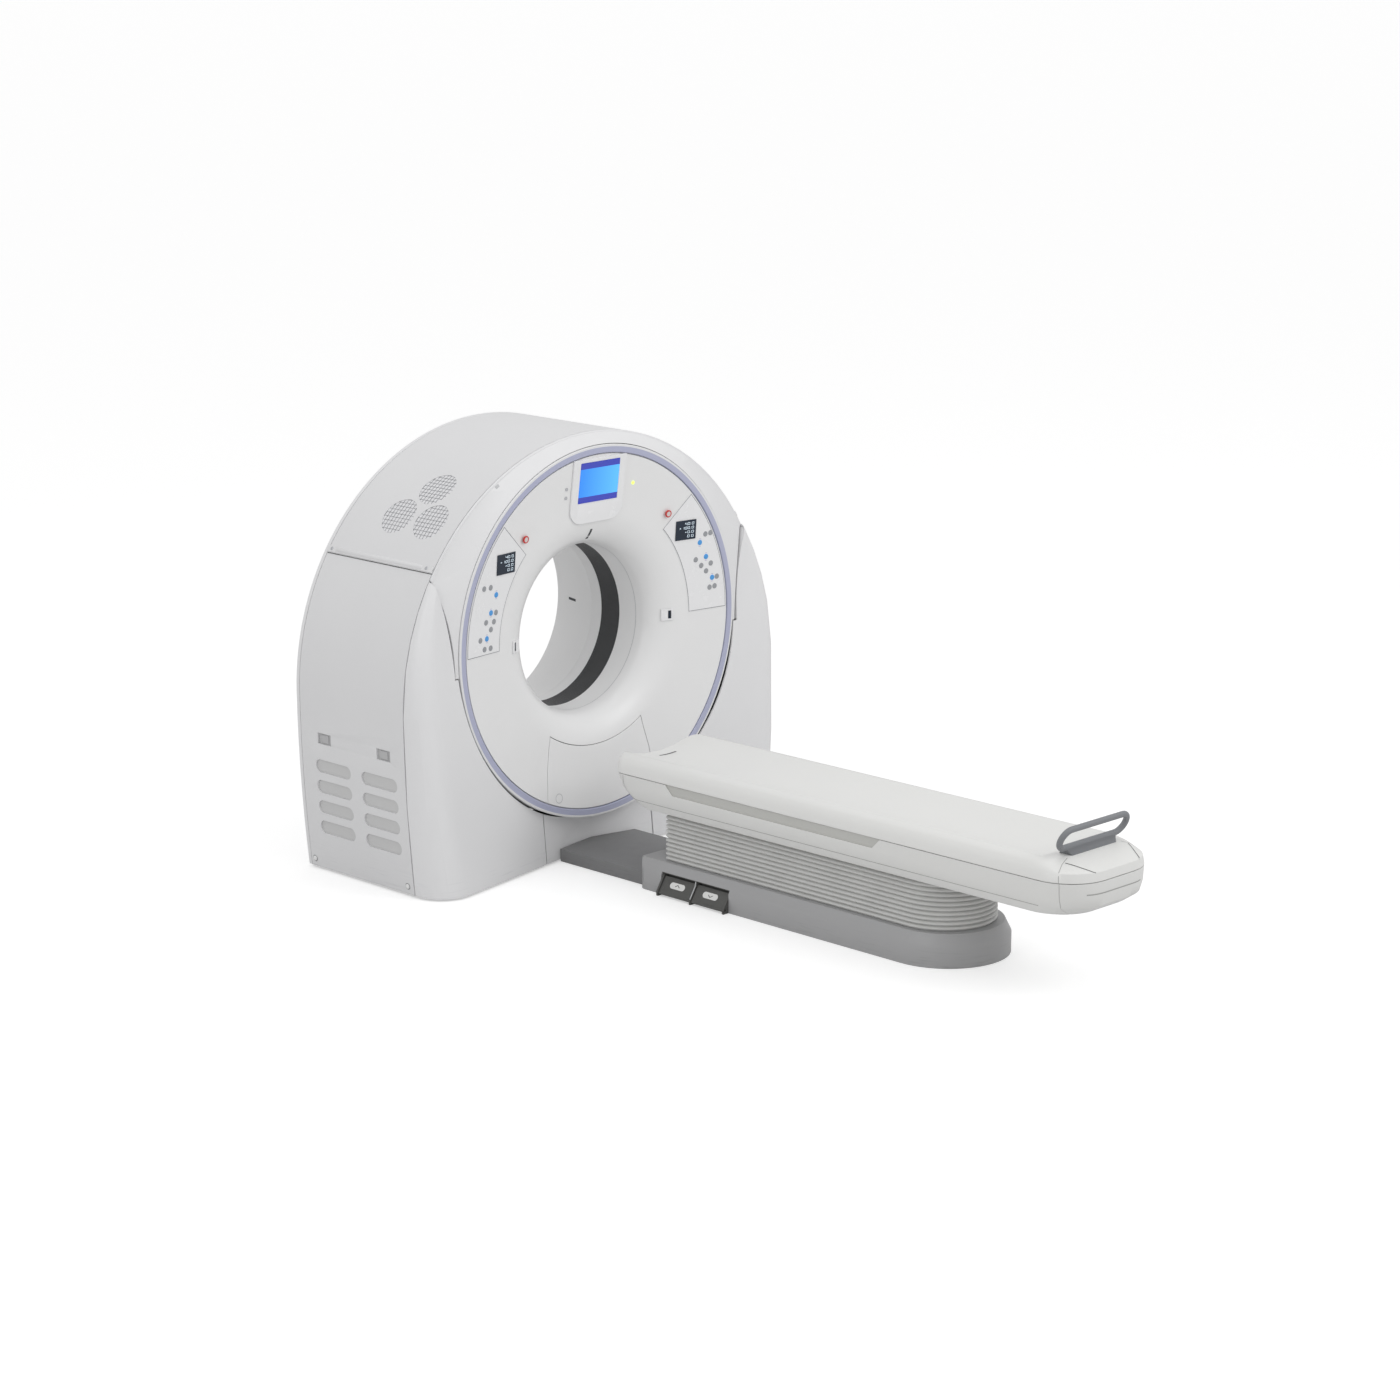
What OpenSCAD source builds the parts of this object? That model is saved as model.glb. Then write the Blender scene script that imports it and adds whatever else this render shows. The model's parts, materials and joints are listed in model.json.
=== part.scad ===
// CT scanner: a gantry with a round bore and a patient couch on a swing arm lift.
// X runs across, Y along the bore with the couch on the -Y side, Z up.
// The origin is on the floor, at the middle of the gantry's four anchors. Sizes in millimetres.

/* [Gantry] */
// height of the bore axis above the floor
iso_z = 1030; // [1000:5:1060]
// radius of the arched top
arch_r = 1120; // [1105:5:1140]
// height of the centre of the arched top
arch_z = 815; // [800:5:830]
// half width of the gantry at the floor
foot_half = 1072; // [1050:2:1085]
// ring plane ahead of the anchors' middle
ring_fwd = 300; // [290:2:320]
// seam of the front covers behind the ring plane
seam_back = 62; // [56:1:70]
// rear face behind the anchors' middle
rear_back = 490; // [480:2:520]
// cover wall
cover_t = 8; // [6:0.5:10]
// open seam between covers
seam_gap = 4; // [3:0.5:6]
// covers end this far above the floor
foot_gap = 10; // [6:1:16]
// height of the joint between side cover and top cover
lip_z = 1420; // [1390:5:1450]

/* [Bore and dish] */
// bore radius
bore_r = 383; // [376:1:392]
// middle radius of the accent ring
ring_r = 830; // [815:1:835]
// face width of the accent ring
ring_w = 38; // [30:1:44]
// accent ring thickness
ring_t = 16; // [12:1:20]
// radius where the dish cone turns into the flare
cone_r = 570; // [550:2:590]
// depth of the dish there, behind the ring plane
cone_depth = 37; // [30:1:44]
// depth of the bore throat behind the ring plane
throat_depth = 165; // [150:1:180]
// dish and liner wall
dish_t = 6; // [5:0.5:8]
// middle of the scan window, Y
scan_y = 41; // [34:1:46]
// half width of the scan window
window_half = 60; // [50:1:62]
// end of the rear liner, Y
liner_back = 164; // [150:2:180]
// radius of the rear funnel mouth
funnel_r = 470; // [450:2:490]
// inner radius of the lower flap
flap_r = 525; // [510:1:545]
// half width of the lower flap
flap_half = 335; // [320:1:345]

/* [Front skirt] */
// skirt front behind the ring plane at the middle of the floor line
skirt_in = 80; // [70:1:95]
// how much the skirt front runs forward per unit to the side
skirt_slope = 0.2; // [0.17:0.01:0.22]
// how much the skirt front leans back per unit of height
skirt_lean = 0.1; // [0.08:0.01:0.12]
// radius of the curved edge between skirt and front bezel
cheek_r = 1171; // [1150:1:1190]
// height of the foot of that edge
cheek_z = 950; // [940:2:965]

/* [Side and top covers] */
// vent slot length
vent_l = 240; // [200:5:250]
// vent slot height
vent_h = 60; // [44:2:66]
// vent row pitch
vent_pitch = 95; // [85:1:100]
// height of the lowest vent row
vent_z = 212; // [200:2:230]
// front vent column behind the ring plane
vent_y1 = 242; // [230:2:250]
// rear vent column behind the ring plane
vent_y2 = 555; // [540:2:570]
// latch opening width
latch_w = 90; // [70:2:100]
// latch opening height
latch_h = 50; // [40:2:60]
// latch height above the floor
latch_z = 625; // [610:5:650]
// top grille radius
grille_r = 92; // [84:1:96]

/* [Controls] */
// control panel inner radius
panel_r = 588; // [580:1:600]
// control panel outer radius
panel_out = 800; // [790:1:803]
// control panel angle
panel_deg = 44; // [40:1:47]
// small display width
mini_w = 118; // [100:2:126]
// small display height
mini_h = 92; // [80:2:100]
// main screen width
screen_w = 236; // [220:2:244]
// main screen height
screen_h = 184; // [170:2:190]
// stop button cap radius
stop_r = 17; // [15:0.5:20]
// stop button travel
stop_travel = 4; // [3:0.5:5]

/* [Rotor] */
// outer radius of the rotor plate
rotor_r = 750; // [735:1:760]
// main bearing split radius
bearing_r = 640; // [630:1:650]
// slip ring outer radius
slip_r = 555; // [545:1:565]

/* [Couch base] */
// half width of the base
base_hw = 275; // [265:1:290]
// half width at the top rim
base_top_hw = 248; // [244:1:255]
// base height
base_h = 140; // [130:1:146]
// height of the sloping edge
base_edge = 85; // [75:1:95]
// head end of the base, Y
base_y0 = -808; // [-830:2:-800]
// foot end of the base, Y
base_y1 = -2625; // [-2660:5:-2615]
// bridge plate half width
plate_hw = 235; // [220:1:250]
// bridge plate thickness
plate_h = 60; // [50:1:66]
// pedal width
pedal_l = 186; // [160:2:190]
// middle of the pedal unit, Y
pedal_y = -1159; // [-1180:1:-1150]
// pedal slope
pedal_deg = 57; // [54:1:60]

/* [Lift] */
// arm length between pivots
arm_l = 620; // [600:5:630]
// arm angle above level at rest
arm_deg = 24; // [22:0.5:25]
// pivot pin radius
pin_r = 15; // [12:0.5:18]
// lower pivot height
pivot_z = 75; // [72:1:80]
// lower pivot of the front arm, Y
pivot_y1 = -1150; // [-1170:5:-1140]
// distance between the two arms
arm_pitch = 600; // [580:5:620]
// bellows half width
bellows_hw = 228; // [224:1:234]
// bellows wall
bellows_t = 22; // [18:1:26]
// head end of the bellows, Y
bellows_y0 = -925; // [-940:1:-920]
// foot end of the bellows, Y
bellows_y1 = -2564; // [-2575:1:-2550]

/* [Couch] */
// half width of the couch body
couch_hw = 280; // [275:1:288]
// underside of the couch body
couch_z0 = 360; // [354:1:364]
// joint between couch body and tabletop
couch_z1 = 500; // [496:1:508]
// head end of the couch, Y
couch_y0 = -651; // [-680:1:-645]
// foot end of the couch, Y
couch_y1 = -3248; // [-3290:2:-3230]
// corner radius of the foot end in plan
foot_r = 185; // [150:5:200]
// couch body wall
couch_t = 10; // [8:0.5:12]
// tabletop edge height above the joint
top_h = 85; // [78:1:92]
// depth of the tabletop trough
trough_d = 45; // [36:1:50]
// trough width
trough_w = 440; // [400:5:450]
// handle tube radius
handle_r = 13; // [11:0.5:15]

/* [Hidden] */
$fn = 96;
run = 0.3;
fit = 0.1;
yr = -ring_fwd;
ys = yr + seam_back;
yb = rear_back;
ring_out = ring_r + ring_w / 2;
ring_in = ring_r - ring_w / 2;
dish_r = ring_in - 5;
foot_d = arch_r - foot_half;
side_r = (arch_z * arch_z + foot_d * foot_d) / (2 * foot_d);
cone_k = (cone_depth - 4) / (dish_r - cone_r);
tilt = atan(cone_k);
flare_a = cone_r - bore_r;
flare_b = throat_depth - cone_depth;
beam_x = 895;
beam_w = 130;
beam_h = 60;
anchor_y = 250;
anchor_r = 11;
tie_y = -150;
hoop_d = 45;
hoop_w = 30;
drum_gap = 9;
cheek_x = ring_out + 18 + cheek_r;
cheek_gap = 9;
bezel_z = cheek_z + cheek_gap / 2;
plate_y = 110;
plate_t = 30;
stator_y = plate_y + plate_t + 50;
stator_t = 40;
stator_out = rotor_r + 40;
pod_r = 472;
mini_r = 678;
mini_deg = 35;
stop_at = 652;
stop_deg = 47.5;
arm_x = 140;
arm_t = 20;
eye_r = 34;
pivot_y2 = pivot_y1 - arm_pitch;
up_y1 = pivot_y1 - arm_l * cos(arm_deg);
up_y2 = pivot_y2 - arm_l * cos(arm_deg);
up_z = pivot_z + arm_l * sin(arm_deg);
flange_z = couch_z0 + 25;
flange_t = 12;
rim_in = bellows_hw - bellows_t - 6;
frame_z0 = flange_z + flange_t + 10;
frame_h = 48;
rail_z = frame_z0 + frame_h;
rail_h = couch_z1 - 27 - rail_z;
beam_in = 150;
beam_out = 190;
top_z0 = couch_z1 + 3;
top_z1 = couch_z1 + top_h;
cap_y = couch_y1 + 98;
handle_half = 160;
handle_bend = 46;
handle_lean = 25;
handle_y = couch_y1 + 138;
handle_z = top_z1 + 72;
carr_y1 = couch_y0 - 549;
carr_y2 = couch_y1 + 348;
cheek_w = 10;
hinge_x = base_hw + 22;
hinge_z = 16;
well_x = 232;
well_z = 100;
well_hl = pedal_l + 2 * cheek_w - 1;
head_t = 46;

module box(x0, x1, y0, y1, z0, z1) {
  translate([x0, y0, z0]) cube([x1 - x0, y1 - y0, z1 - z0]);
}

// round bar along Y
module ycyl(r, y0, y1, x, z) {
  translate([x, y0, z]) rotate([-90, 0, 0]) cylinder(r = r, h = y1 - y0);
}

// round bar along X
module xcyl(r, x0, x1, y, z) {
  translate([x0, y, z]) rotate([0, 90, 0]) cylinder(r = r, h = x1 - x0);
}

// solid turned about the bore axis, points are [radius, Y]
module turned(pts) {
  translate([0, 0, iso_z]) rotate([-90, 0, 0]) rotate_extrude() polygon(pts);
}

// part of a turned solid between two angles, seen from the front
module turned_part(pts, a0, a1) {
  translate([0, 0, iso_z]) rotate([-90, 0, 0]) rotate([0, 0, -a1])
    rotate_extrude(angle = a1 - a0) polygon(pts);
}

function ring_pts(r0, r1, y0, y1) = [[r0, y0], [r1, y0], [r1, y1], [r0, y1]];

// half width of the gantry at a height
function half_at(z) = z >= arch_z ? sqrt(arch_r * arch_r - (z - arch_z) * (z - arch_z))
  : arch_r - side_r + sqrt(side_r * side_r - (arch_z - z) * (arch_z - z));

// gantry outline as a solid, drawn in by ins
module outline(y0, y1, ins, z0) {
  intersection() {
    ycyl(arch_r - ins, y0, y1, 0, arch_z, $fn = 480);
    box(-arch_r, arch_r, y0 - 1, y1 + 1, arch_z, arch_z + arch_r + 5);
  }
  intersection() {
    box(-arch_r, arch_r, y0, y1, z0, arch_z);
    ycyl(side_r - ins, y0 - 1, y1 + 1, side_r - arch_r, arch_z, $fn = 900);
    ycyl(side_r - ins, y0 - 1, y1 + 1, arch_r - side_r, arch_z, $fn = 900);
  }
}

// band between two insets of the outline
module band(y0, y1, i0, i1, z0) {
  difference() {
    outline(y0, y1, i0, z0);
    outline(y0 - 1, y1 + 1, i1, z0 - 1);
  }
}

// outline as points, used for the loft of the front bezel
function outline_pts(ins) = concat(
  [for (a = [0 : 4 : 180]) [(arch_r - ins) * cos(a), arch_z + (arch_r - ins) * sin(a)]],
  [for (k = [1 : 4]) [-(half_at(arch_z * (1 - k / 4)) - ins), arch_z * (1 - k / 4)]],
  [for (k = [4 : -1 : 1]) [half_at(arch_z * (1 - k / 4)) - ins, arch_z * (1 - k / 4)]]);

module outline_plate(y0, y1, ins) {
  translate([0, y1, 0]) rotate([90, 0, 0]) linear_extrude(y1 - y0) polygon(outline_pts(ins));
}

// plan of the left half of the front skirt at height z, drawn in by t
function skirt_pts(z, t) = let(
    h = half_at(z) - t,
    n = sqrt(1 + skirt_slope * skirt_slope),
    y0 = yr + skirt_in + skirt_lean * z + t * n,
    rc = max(6, 0.75 * (ys - y0 + skirt_slope * h) - t),
    cx = rc - h,
    cy = y0 + skirt_slope * cx + rc * n,
    yk = ys + 120 + 2 * t,
    xr = min(0, (yk - y0) / skirt_slope - 1),
    a1 = 270 + atan(skirt_slope))
  concat([for (k = [0 : 10]) let(a = 180 + (a1 - 180) * k / 10) [cx + rc * cos(a), cy + rc * sin(a)]],
    [[xr, y0 + skirt_slope * xr], [xr, yk], [-h, yk]]);

module skirt_slice(z, t) {
  translate([0, 0, z]) linear_extrude(0.2) polygon(skirt_pts(z, t));
}

// left half of the front skirt, a solid that the shell is cut from
module skirt_solid(t) {
  hull() {
    skirt_slice(foot_gap - 3 * t / cover_t, t);
    skirt_slice(arch_z / 2, t);
    skirt_slice(arch_z, t);
    skirt_slice(arch_z + 200, t);
    skirt_slice(arch_z + 330, t);
    skirt_slice(arch_z + 450, t);
    skirt_slice(arch_z + 550, t);
    skirt_slice(lip_z - 1, t);
  }
}

module skirt_half() {
  difference() {
    skirt_solid(0);
    skirt_solid(cover_t);
    ycyl(ring_out + drum_gap, yr - 200, ys + 300, 0, iso_z);
    difference() {
      box(-arch_r, 1, yr - 200, ys + 300, cheek_z, lip_z + 50);
      ycyl(cheek_r - cheek_gap, yr - 210, ys + 310, -cheek_x, cheek_z);
    }
    box(-arch_r - 5, -860, ys, ys + 300, -5, lip_z + 50);
  }
}

// flange by which a front cover bolts to the front hoop
module edge_flange() {
  band(ys - 8, ys, cover_t - 3, hoop_d, foot_gap + 60);
}

module skirt_side() {
  difference() {
    skirt_half();
    box(-flap_half - 3, arch_r, yr - 200, ys + 300, -5, iso_z);
  }
  intersection() {
    edge_flange();
    box(-arch_r, -half_at(iso_z) + hoop_d + 20, ys - 20, ys + 1, foot_gap + 60, iso_z - 60);
  }
}

// dish front line at parameter u, [radius, Y]
function flare(u) = [bore_r + flare_a * (1 - sin(u)), yr + cone_depth + flare_b * (1 - cos(u))];
function flare_back(u, t) = let(n = norm([flare_b * sin(u), flare_a * cos(u)]))
  flare(u) + t * [flare_b * sin(u), flare_a * cos(u)] / n;
// Y of the dish cone at a radius
function dish_y(r) = yr + 4 + cone_k * (dish_r - r);

module dish_solid() {
  turned(concat([[dish_r, yr + 4]],
    [for (u = [0 : 10 : 90]) flare(u)],
    [for (u = [90 : -10 : 0]) flare_back(u, dish_t)],
    [[dish_r - 8, dish_y(dish_r - 8) + dish_t], [dish_r - 8, yr + ring_t], [dish_r, yr + ring_t]]));
}

// everything behind the dish face, kept off by g
module behind_dish(g) {
  turned(concat([[dish_r + 30, yr + 4 - g - 30 * cone_k], [dish_r, yr + 4 - g]],
    [for (u = [0 : 10 : 90]) flare(u) - [0, g]],
    [[bore_r, yr + 400], [dish_r + 30, yr + 400]]));
}

module flap_zone(g) {
  difference() {
    translate([0, yr + 300, iso_z]) rotate([90, 0, 0]) linear_extrude(310) polygon([
      [-flap_half - g, -dish_r - 20], [flap_half + g, -dish_r - 20], [flap_half + g, -740],
      [flap_half - 16 + g, -592], [flap_half - 52 + g, -442], [flap_half - 66 + g, -400],
      [-flap_half + 66 - g, -400], [-flap_half + 52 - g, -442], [-flap_half + 16 - g, -592],
      [-flap_half - g, -740]]);
    ycyl(flap_r - g, yr - 20, yr + 310, 0, iso_z);
  }
}

// seat on the dish cone: X right, Z up, -Y out of the dish
module on_dish(r, a) {
  translate([r * cos(a), dish_y(r), iso_z + r * sin(a)])
    rotate([0, -a, 0]) rotate([0, 0, -tilt]) rotate([0, a, 0]) children();
}

module both() {
  children();
  mirror([1, 0, 0]) children();
}

// seat on the left of the arched top, Z out
module on_arch(a, y) {
  translate([0, y, arch_z]) rotate([0, 90 - a, 0]) translate([0, 0, arch_r]) children();
}

module grille_cuts(r, depth) {
  on_arch(126, yr + 345) translate([0, 0, -depth]) cylinder(r = r, h = depth + 60);
  on_arch(135, yr + 450) translate([0, 0, -depth]) cylinder(r = r, h = depth + 60);
  on_arch(135, yr + 240) translate([0, 0, -depth]) cylinder(r = r, h = depth + 60);
}

module vent_cuts() {
  for (k = [0 : 3]) {
    for (y = [yr + vent_y1, yr + vent_y2]) {
      z = vent_z + k * vent_pitch;
      box(-arch_r - 20, -foot_half + 120, y - vent_l / 2 + vent_h / 2, y + vent_l / 2 - vent_h / 2,
        z - vent_h / 2, z + vent_h / 2);
      xcyl(vent_h / 2, -arch_r - 20, -foot_half + 120, y - vent_l / 2 + vent_h / 2, z);
      xcyl(vent_h / 2, -arch_r - 20, -foot_half + 120, y + vent_l / 2 - vent_h / 2, z);
    }
  }
}

module latch_boxes(w, h) {
  for (y = [yr + 205, yr + 607]) {
    box(-arch_r - 20, -foot_half + 120, y - w / 2, y + w / 2, latch_z - h / 2, latch_z + h / 2);
  }
}

module side_left() {
  difference() {
    intersection() {
      band(ys + seam_gap, yb - 24, 0, cover_t, foot_gap);
      box(-arch_r - 5, -300, ys, yb, foot_gap - 1, lip_z - seam_gap / 2);
    }
    vent_cuts();
    latch_boxes(latch_w, latch_h);
  }
}

// screw on the lip of the top cover
module lip_screw(y) {
  on_arch(180 - asin((lip_z + 17 - arch_z) / arch_r), y)
    translate([0, 0, 7 + run]) cylinder(r = 9, h = 2.5);
}

// screw at the foot of the left side cover
module foot_screw(y, z) {
  xcyl(11, -half_at(z) - 4, -half_at(z + 11) - run, y, z);
}

module gantry_base() {
  color([0.32, 0.33, 0.35]) difference() {
    union() {
      both() box(beam_x - beam_w / 2, beam_x + beam_w / 2, -anchor_y - 50, yb - 8, 0, beam_h);
      box(-beam_x, beam_x, tie_y - 30, tie_y + 30, 0, beam_h);
      box(-beam_x, beam_x, stator_y + 20, stator_y + 120, 0, beam_h);
      both() box(beam_x - beam_w / 2, beam_x + beam_w / 2, stator_y + stator_t, stator_y + stator_t + 140,
        beam_h, iso_z + 120);
      both() box(beam_x, half_at(beam_h) - cover_t - 6, ys, ys + hoop_w, foot_gap, beam_h);
      both() box(beam_x, half_at(beam_h) - cover_t - 6, yb - 50, yb - 8, foot_gap, beam_h);
    }
    for (x = [-beam_x, beam_x]) {
      for (y = [-anchor_y, anchor_y]) {
        translate([x, y, -1]) cylinder(r = anchor_r, h = beam_h + 2);
      }
    }
  }
}

module cover_frame() {
  color([0.45, 0.46, 0.48]) {
    band(ys, ys + hoop_w, cover_t + run, hoop_d, beam_h);
    band(yb - 50, yb - 8, cover_t + run, hoop_d, beam_h);
    difference() {
      turned(ring_pts(ring_out + 2 * run, ring_out + 31, ys, ys + hoop_w));
      box(-arch_r, arch_r, ys - 1, ys + hoop_w + 1, 0, iso_z - 650);
    }
    both() box(ring_out + 10, half_at(iso_z) - 20, ys, ys + hoop_w, iso_z - 40, iso_z + 40);
    both() box(sqrt(ring_out * ring_out - 600 * 600) + 3, half_at(iso_z - 620) - 20, ys, ys + hoop_w,
      iso_z - 640, iso_z - 600);
    box(-40, 40, ys, ys + hoop_w, iso_z + ring_out + 10, arch_z + arch_r - 20);
  }
}

module stator_ring() {
  color([0.38, 0.4, 0.43]) {
    turned(ring_pts(560, stator_out, stator_y, stator_y + stator_t));
    both() box(stator_out - 30, beam_x + beam_w / 2, stator_y, stator_y + stator_t,
      iso_z - 120, iso_z + 120);
  }
}

module bearing_outer() {
  color([0.6, 0.61, 0.63])
    turned(ring_pts(bearing_r + 0.5, bearing_r + 50, plate_y + plate_t + 4, stator_y));
}

module drive_stator() {
  color([0.55, 0.35, 0.2])
    turned(ring_pts(rotor_r + 4, stator_out, plate_y, stator_y));
}

module brush_block() {
  color([0.2, 0.2, 0.22]) {
    box(-40, 40, stator_y + stator_t, stator_y + stator_t + 30, iso_z - 620, iso_z - slip_r + 70);
    box(-30, 30, plate_y + plate_t + 31, stator_y + stator_t, iso_z - slip_r + 10, iso_z - slip_r + 60);
  }
}

module rotor_plate() {
  color([0.7, 0.71, 0.73]) {
    turned(ring_pts(430, rotor_r, plate_y, plate_y + plate_t));
    turned(ring_pts(bearing_r - 50, bearing_r, plate_y + plate_t, stator_y - 4));
  }
}

module slip_ring() {
  color([0.75, 0.6, 0.3])
    turned(ring_pts(440, slip_r, plate_y + plate_t, plate_y + plate_t + 30));
}

module xray_tube() {
  color([0.5, 0.52, 0.55]) {
    ycyl(95, scan_y - 120, plate_y, 0, iso_z + 610);
    box(-150, 150, plate_y - 60, plate_y, iso_z + 560, iso_z + 660);
  }
}

module collimator() {
  color([0.25, 0.26, 0.28])
    box(-110, 110, 2 * scan_y - plate_y, plate_y, iso_z + 440, iso_z + 514);
}

module detector() {
  color([0.3, 0.32, 0.35]) turned_part(ring_pts(560, 690, 2 * scan_y - plate_y, plate_y), 238, 302);
}

module hv_generator() {
  color([0.65, 0.66, 0.66]) box(480, 680, -90, plate_y, iso_z - 150, iso_z + 180);
}

module balance_weight() {
  color([0.4, 0.4, 0.42]) box(-660, -500, -60, plate_y, iso_z - 130, iso_z + 130);
}

module top_cover() {
  color([0.9, 0.9, 0.9]) difference() {
    union() {
      intersection() {
        band(ys + seam_gap, yb - 24, 0, cover_t, lip_z - 60);
        box(-arch_r, arch_r, ys, yb, lip_z + seam_gap / 2, arch_z + arch_r + 20);
      }
      both() intersection() {
        ycyl(15, ys + seam_gap, yb - 24, -half_at(lip_z + 15), lip_z + 17);
        outline(ys, yb, -7, lip_z - 60);
      }
    }
    outline(ys - 1, yb + 1, cover_t, lip_z - 60);
    both() grille_cuts(grille_r, 60);
  }
}

module side_cover_left() {
  color([0.88, 0.88, 0.88]) side_left();
}

module side_cover_right() {
  color([0.88, 0.88, 0.88]) mirror([1, 0, 0]) side_left();
}

module vent_filters() {
  color([0.7, 0.7, 0.7]) both() intersection() {
    band(yr + vent_y1 - vent_l / 2 - 20, yr + vent_y2 + vent_l / 2 + 20,
      cover_t + run, cover_t + 6, foot_gap);
    box(-arch_r, -foot_half + 200, yr, yb,
      vent_z - vent_h / 2 - 20, vent_z + 3 * vent_pitch + vent_h / 2 + 20);
  }
}

module cover_latches() {
  color([0.6, 0.6, 0.6]) both() {
    intersection() {
      band(yr + 100, yr + 700, cover_t + run, cover_t + 8, foot_gap);
      latch_boxes(latch_w + 24, latch_h + 24);
    }
    intersection() {
      band(yr + 100, yr + 700, 3, cover_t + 4, foot_gap);
      latch_boxes(latch_w - 40, latch_h - 14);
    }
  }
}

module top_grilles() {
  color([0.75, 0.75, 0.75]) both() intersection() {
    band(ys + 20, yb - 60, 3, cover_t - 1, lip_z - 60);
    grille_cuts(grille_r - run, 60);
  }
}

module cover_screws() {
  color([0.8, 0.8, 0.8]) both() {
    for (y = [yr + 106, yr + 740]) {
      lip_screw(y);
      foot_screw(y, foot_gap + 36);
    }
  }
}

module front_bezel() {
  color([0.92, 0.92, 0.92]) difference() {
    union() {
      difference() {
        hull() {
          ycyl(ring_out + 3, yr + 6, yr + 7, 0, iso_z);
          outline_plate(ys - 1, ys, 0);
        }
        hull() {
          ycyl(ring_out - 12, yr + 6 + cover_t, yr + 7 + cover_t, 0, iso_z);
          outline_plate(ys + 3, ys + 4, cover_t);
        }
      }
      intersection() {
        edge_flange();
        box(-arch_r, arch_r, ys - 20, ys + 1, lip_z - 100, arch_z + arch_r + 5);
      }
    }
    ycyl(ring_out + 3, yr - 10, ys + 50, 0, iso_z);
    box(-arch_r - 5, arch_r + 5, yr - 10, ys + 50, -5, bezel_z);
    both() ycyl(cheek_r, yr - 10, ys + 50, -cheek_x, cheek_z);
  }
}

module skirt_left() {
  color([0.88, 0.88, 0.88]) skirt_side();
}

module skirt_right() {
  color([0.88, 0.88, 0.88]) mirror([1, 0, 0]) skirt_side();
}

module skirt_centre() {
  color([0.86, 0.86, 0.86]) {
    both() intersection() {
      skirt_half();
      box(-flap_half + 3, 0, yr - 200, ys + 300, -5, iso_z);
    }
    both() box(-240, -216, yr + skirt_in - 214 * skirt_slope + 7, tie_y - 30, foot_gap + 20, foot_gap + 40);
  }
}

module rear_cover() {
  color([0.88, 0.88, 0.88]) difference() {
    outline(yb - 20, yb, 0, foot_gap);
    outline(yb - 21, yb - cover_t, cover_t, foot_gap - 1);
    ycyl(funnel_r + dish_t + run, yb - 30, yb + 10, 0, iso_z);
  }
}

module rear_funnel() {
  color([0.9, 0.9, 0.9]) turned([[bore_r, liner_back], [funnel_r, yb], [funnel_r + dish_t, yb],
    [bore_r + dish_t, liner_back]]);
}

module drum_rim() {
  color([0.85, 0.85, 0.86]) turned([[dish_r - 8, yr + ring_t], [ring_out, yr + ring_t],
    [ring_out, yr + 130], [ring_out - 14, yr + 130], [ring_out - 14, yr + ring_t + 6],
    [dish_r - 8, yr + ring_t + 6]]);
}

module accent_ring() {
  color([0.66, 0.68, 0.82]) turned(ring_pts(ring_in, ring_out, yr, yr + ring_t));
}

module front_dish() {
  color([0.94, 0.94, 0.94]) difference() {
    dish_solid();
    flap_zone(1.5);
    both() on_dish(stop_at, stop_deg) rotate([90, 0, 0]) translate([0, 0, -30])
      cylinder(r = 6 + fit, h = 60);
  }
}

module dish_flap() {
  color([0.93, 0.93, 0.93]) intersection() {
    dish_solid();
    flap_zone(-1.5);
  }
}

module bore_liner_front() {
  color([0.93, 0.93, 0.93]) turned([[bore_r, yr + throat_depth], [bore_r, scan_y - window_half],
    [bore_r + dish_t, scan_y - window_half], [bore_r + dish_t + 6, yr + throat_depth + 20],
    [bore_r + dish_t + 6, yr + throat_depth - 1.5], [bore_r + dish_t + run, yr + throat_depth - 1.5],
    [bore_r + dish_t + run, yr + throat_depth]]);
}

module bore_liner_rear() {
  color([0.93, 0.93, 0.93]) turned(ring_pts(bore_r, bore_r + dish_t, scan_y + window_half, liner_back));
}

module scan_window() {
  color([0.2, 0.2, 0.2]) turned(ring_pts(bore_r + 1, bore_r + 3, scan_y - window_half, scan_y + window_half));
}

module panel_shape() {
  turned_part([[panel_r, dish_y(panel_r) - 2], [panel_out, dish_y(panel_out) - 2],
    [panel_out, dish_y(panel_out) - 0.2], [panel_r, dish_y(panel_r) - 0.2]], 0, panel_deg);
}

module panel_left() {
  color([0.95, 0.95, 0.95]) mirror([1, 0, 0]) panel_shape();
}

module panel_right() {
  color([0.95, 0.95, 0.95]) panel_shape();
}

module mini_shape() {
  on_dish(mini_r, mini_deg) box(-mini_w / 2, mini_w / 2, -6, -2.7, -mini_h / 2, mini_h / 2);
}

module mini_display_left() {
  color([0.06, 0.12, 0.2]) mirror([1, 0, 0]) mini_shape();
}

module mini_display_right() {
  color([0.06, 0.12, 0.2]) mini_shape();
}

module stop_shape() {
  on_dish(stop_at, stop_deg) rotate([90, 0, 0]) {
    translate([0, 0, stop_travel + 3]) cylinder(r = stop_r, h = 8);
    translate([0, 0, -24]) cylinder(r = 6, h = stop_travel + 28);
  }
}

module stop_button_left() {
  color([0.75, 0.15, 0.12]) mirror([1, 0, 0]) stop_shape();
}

module stop_button_right() {
  color([0.75, 0.15, 0.12]) stop_shape();
}

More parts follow.
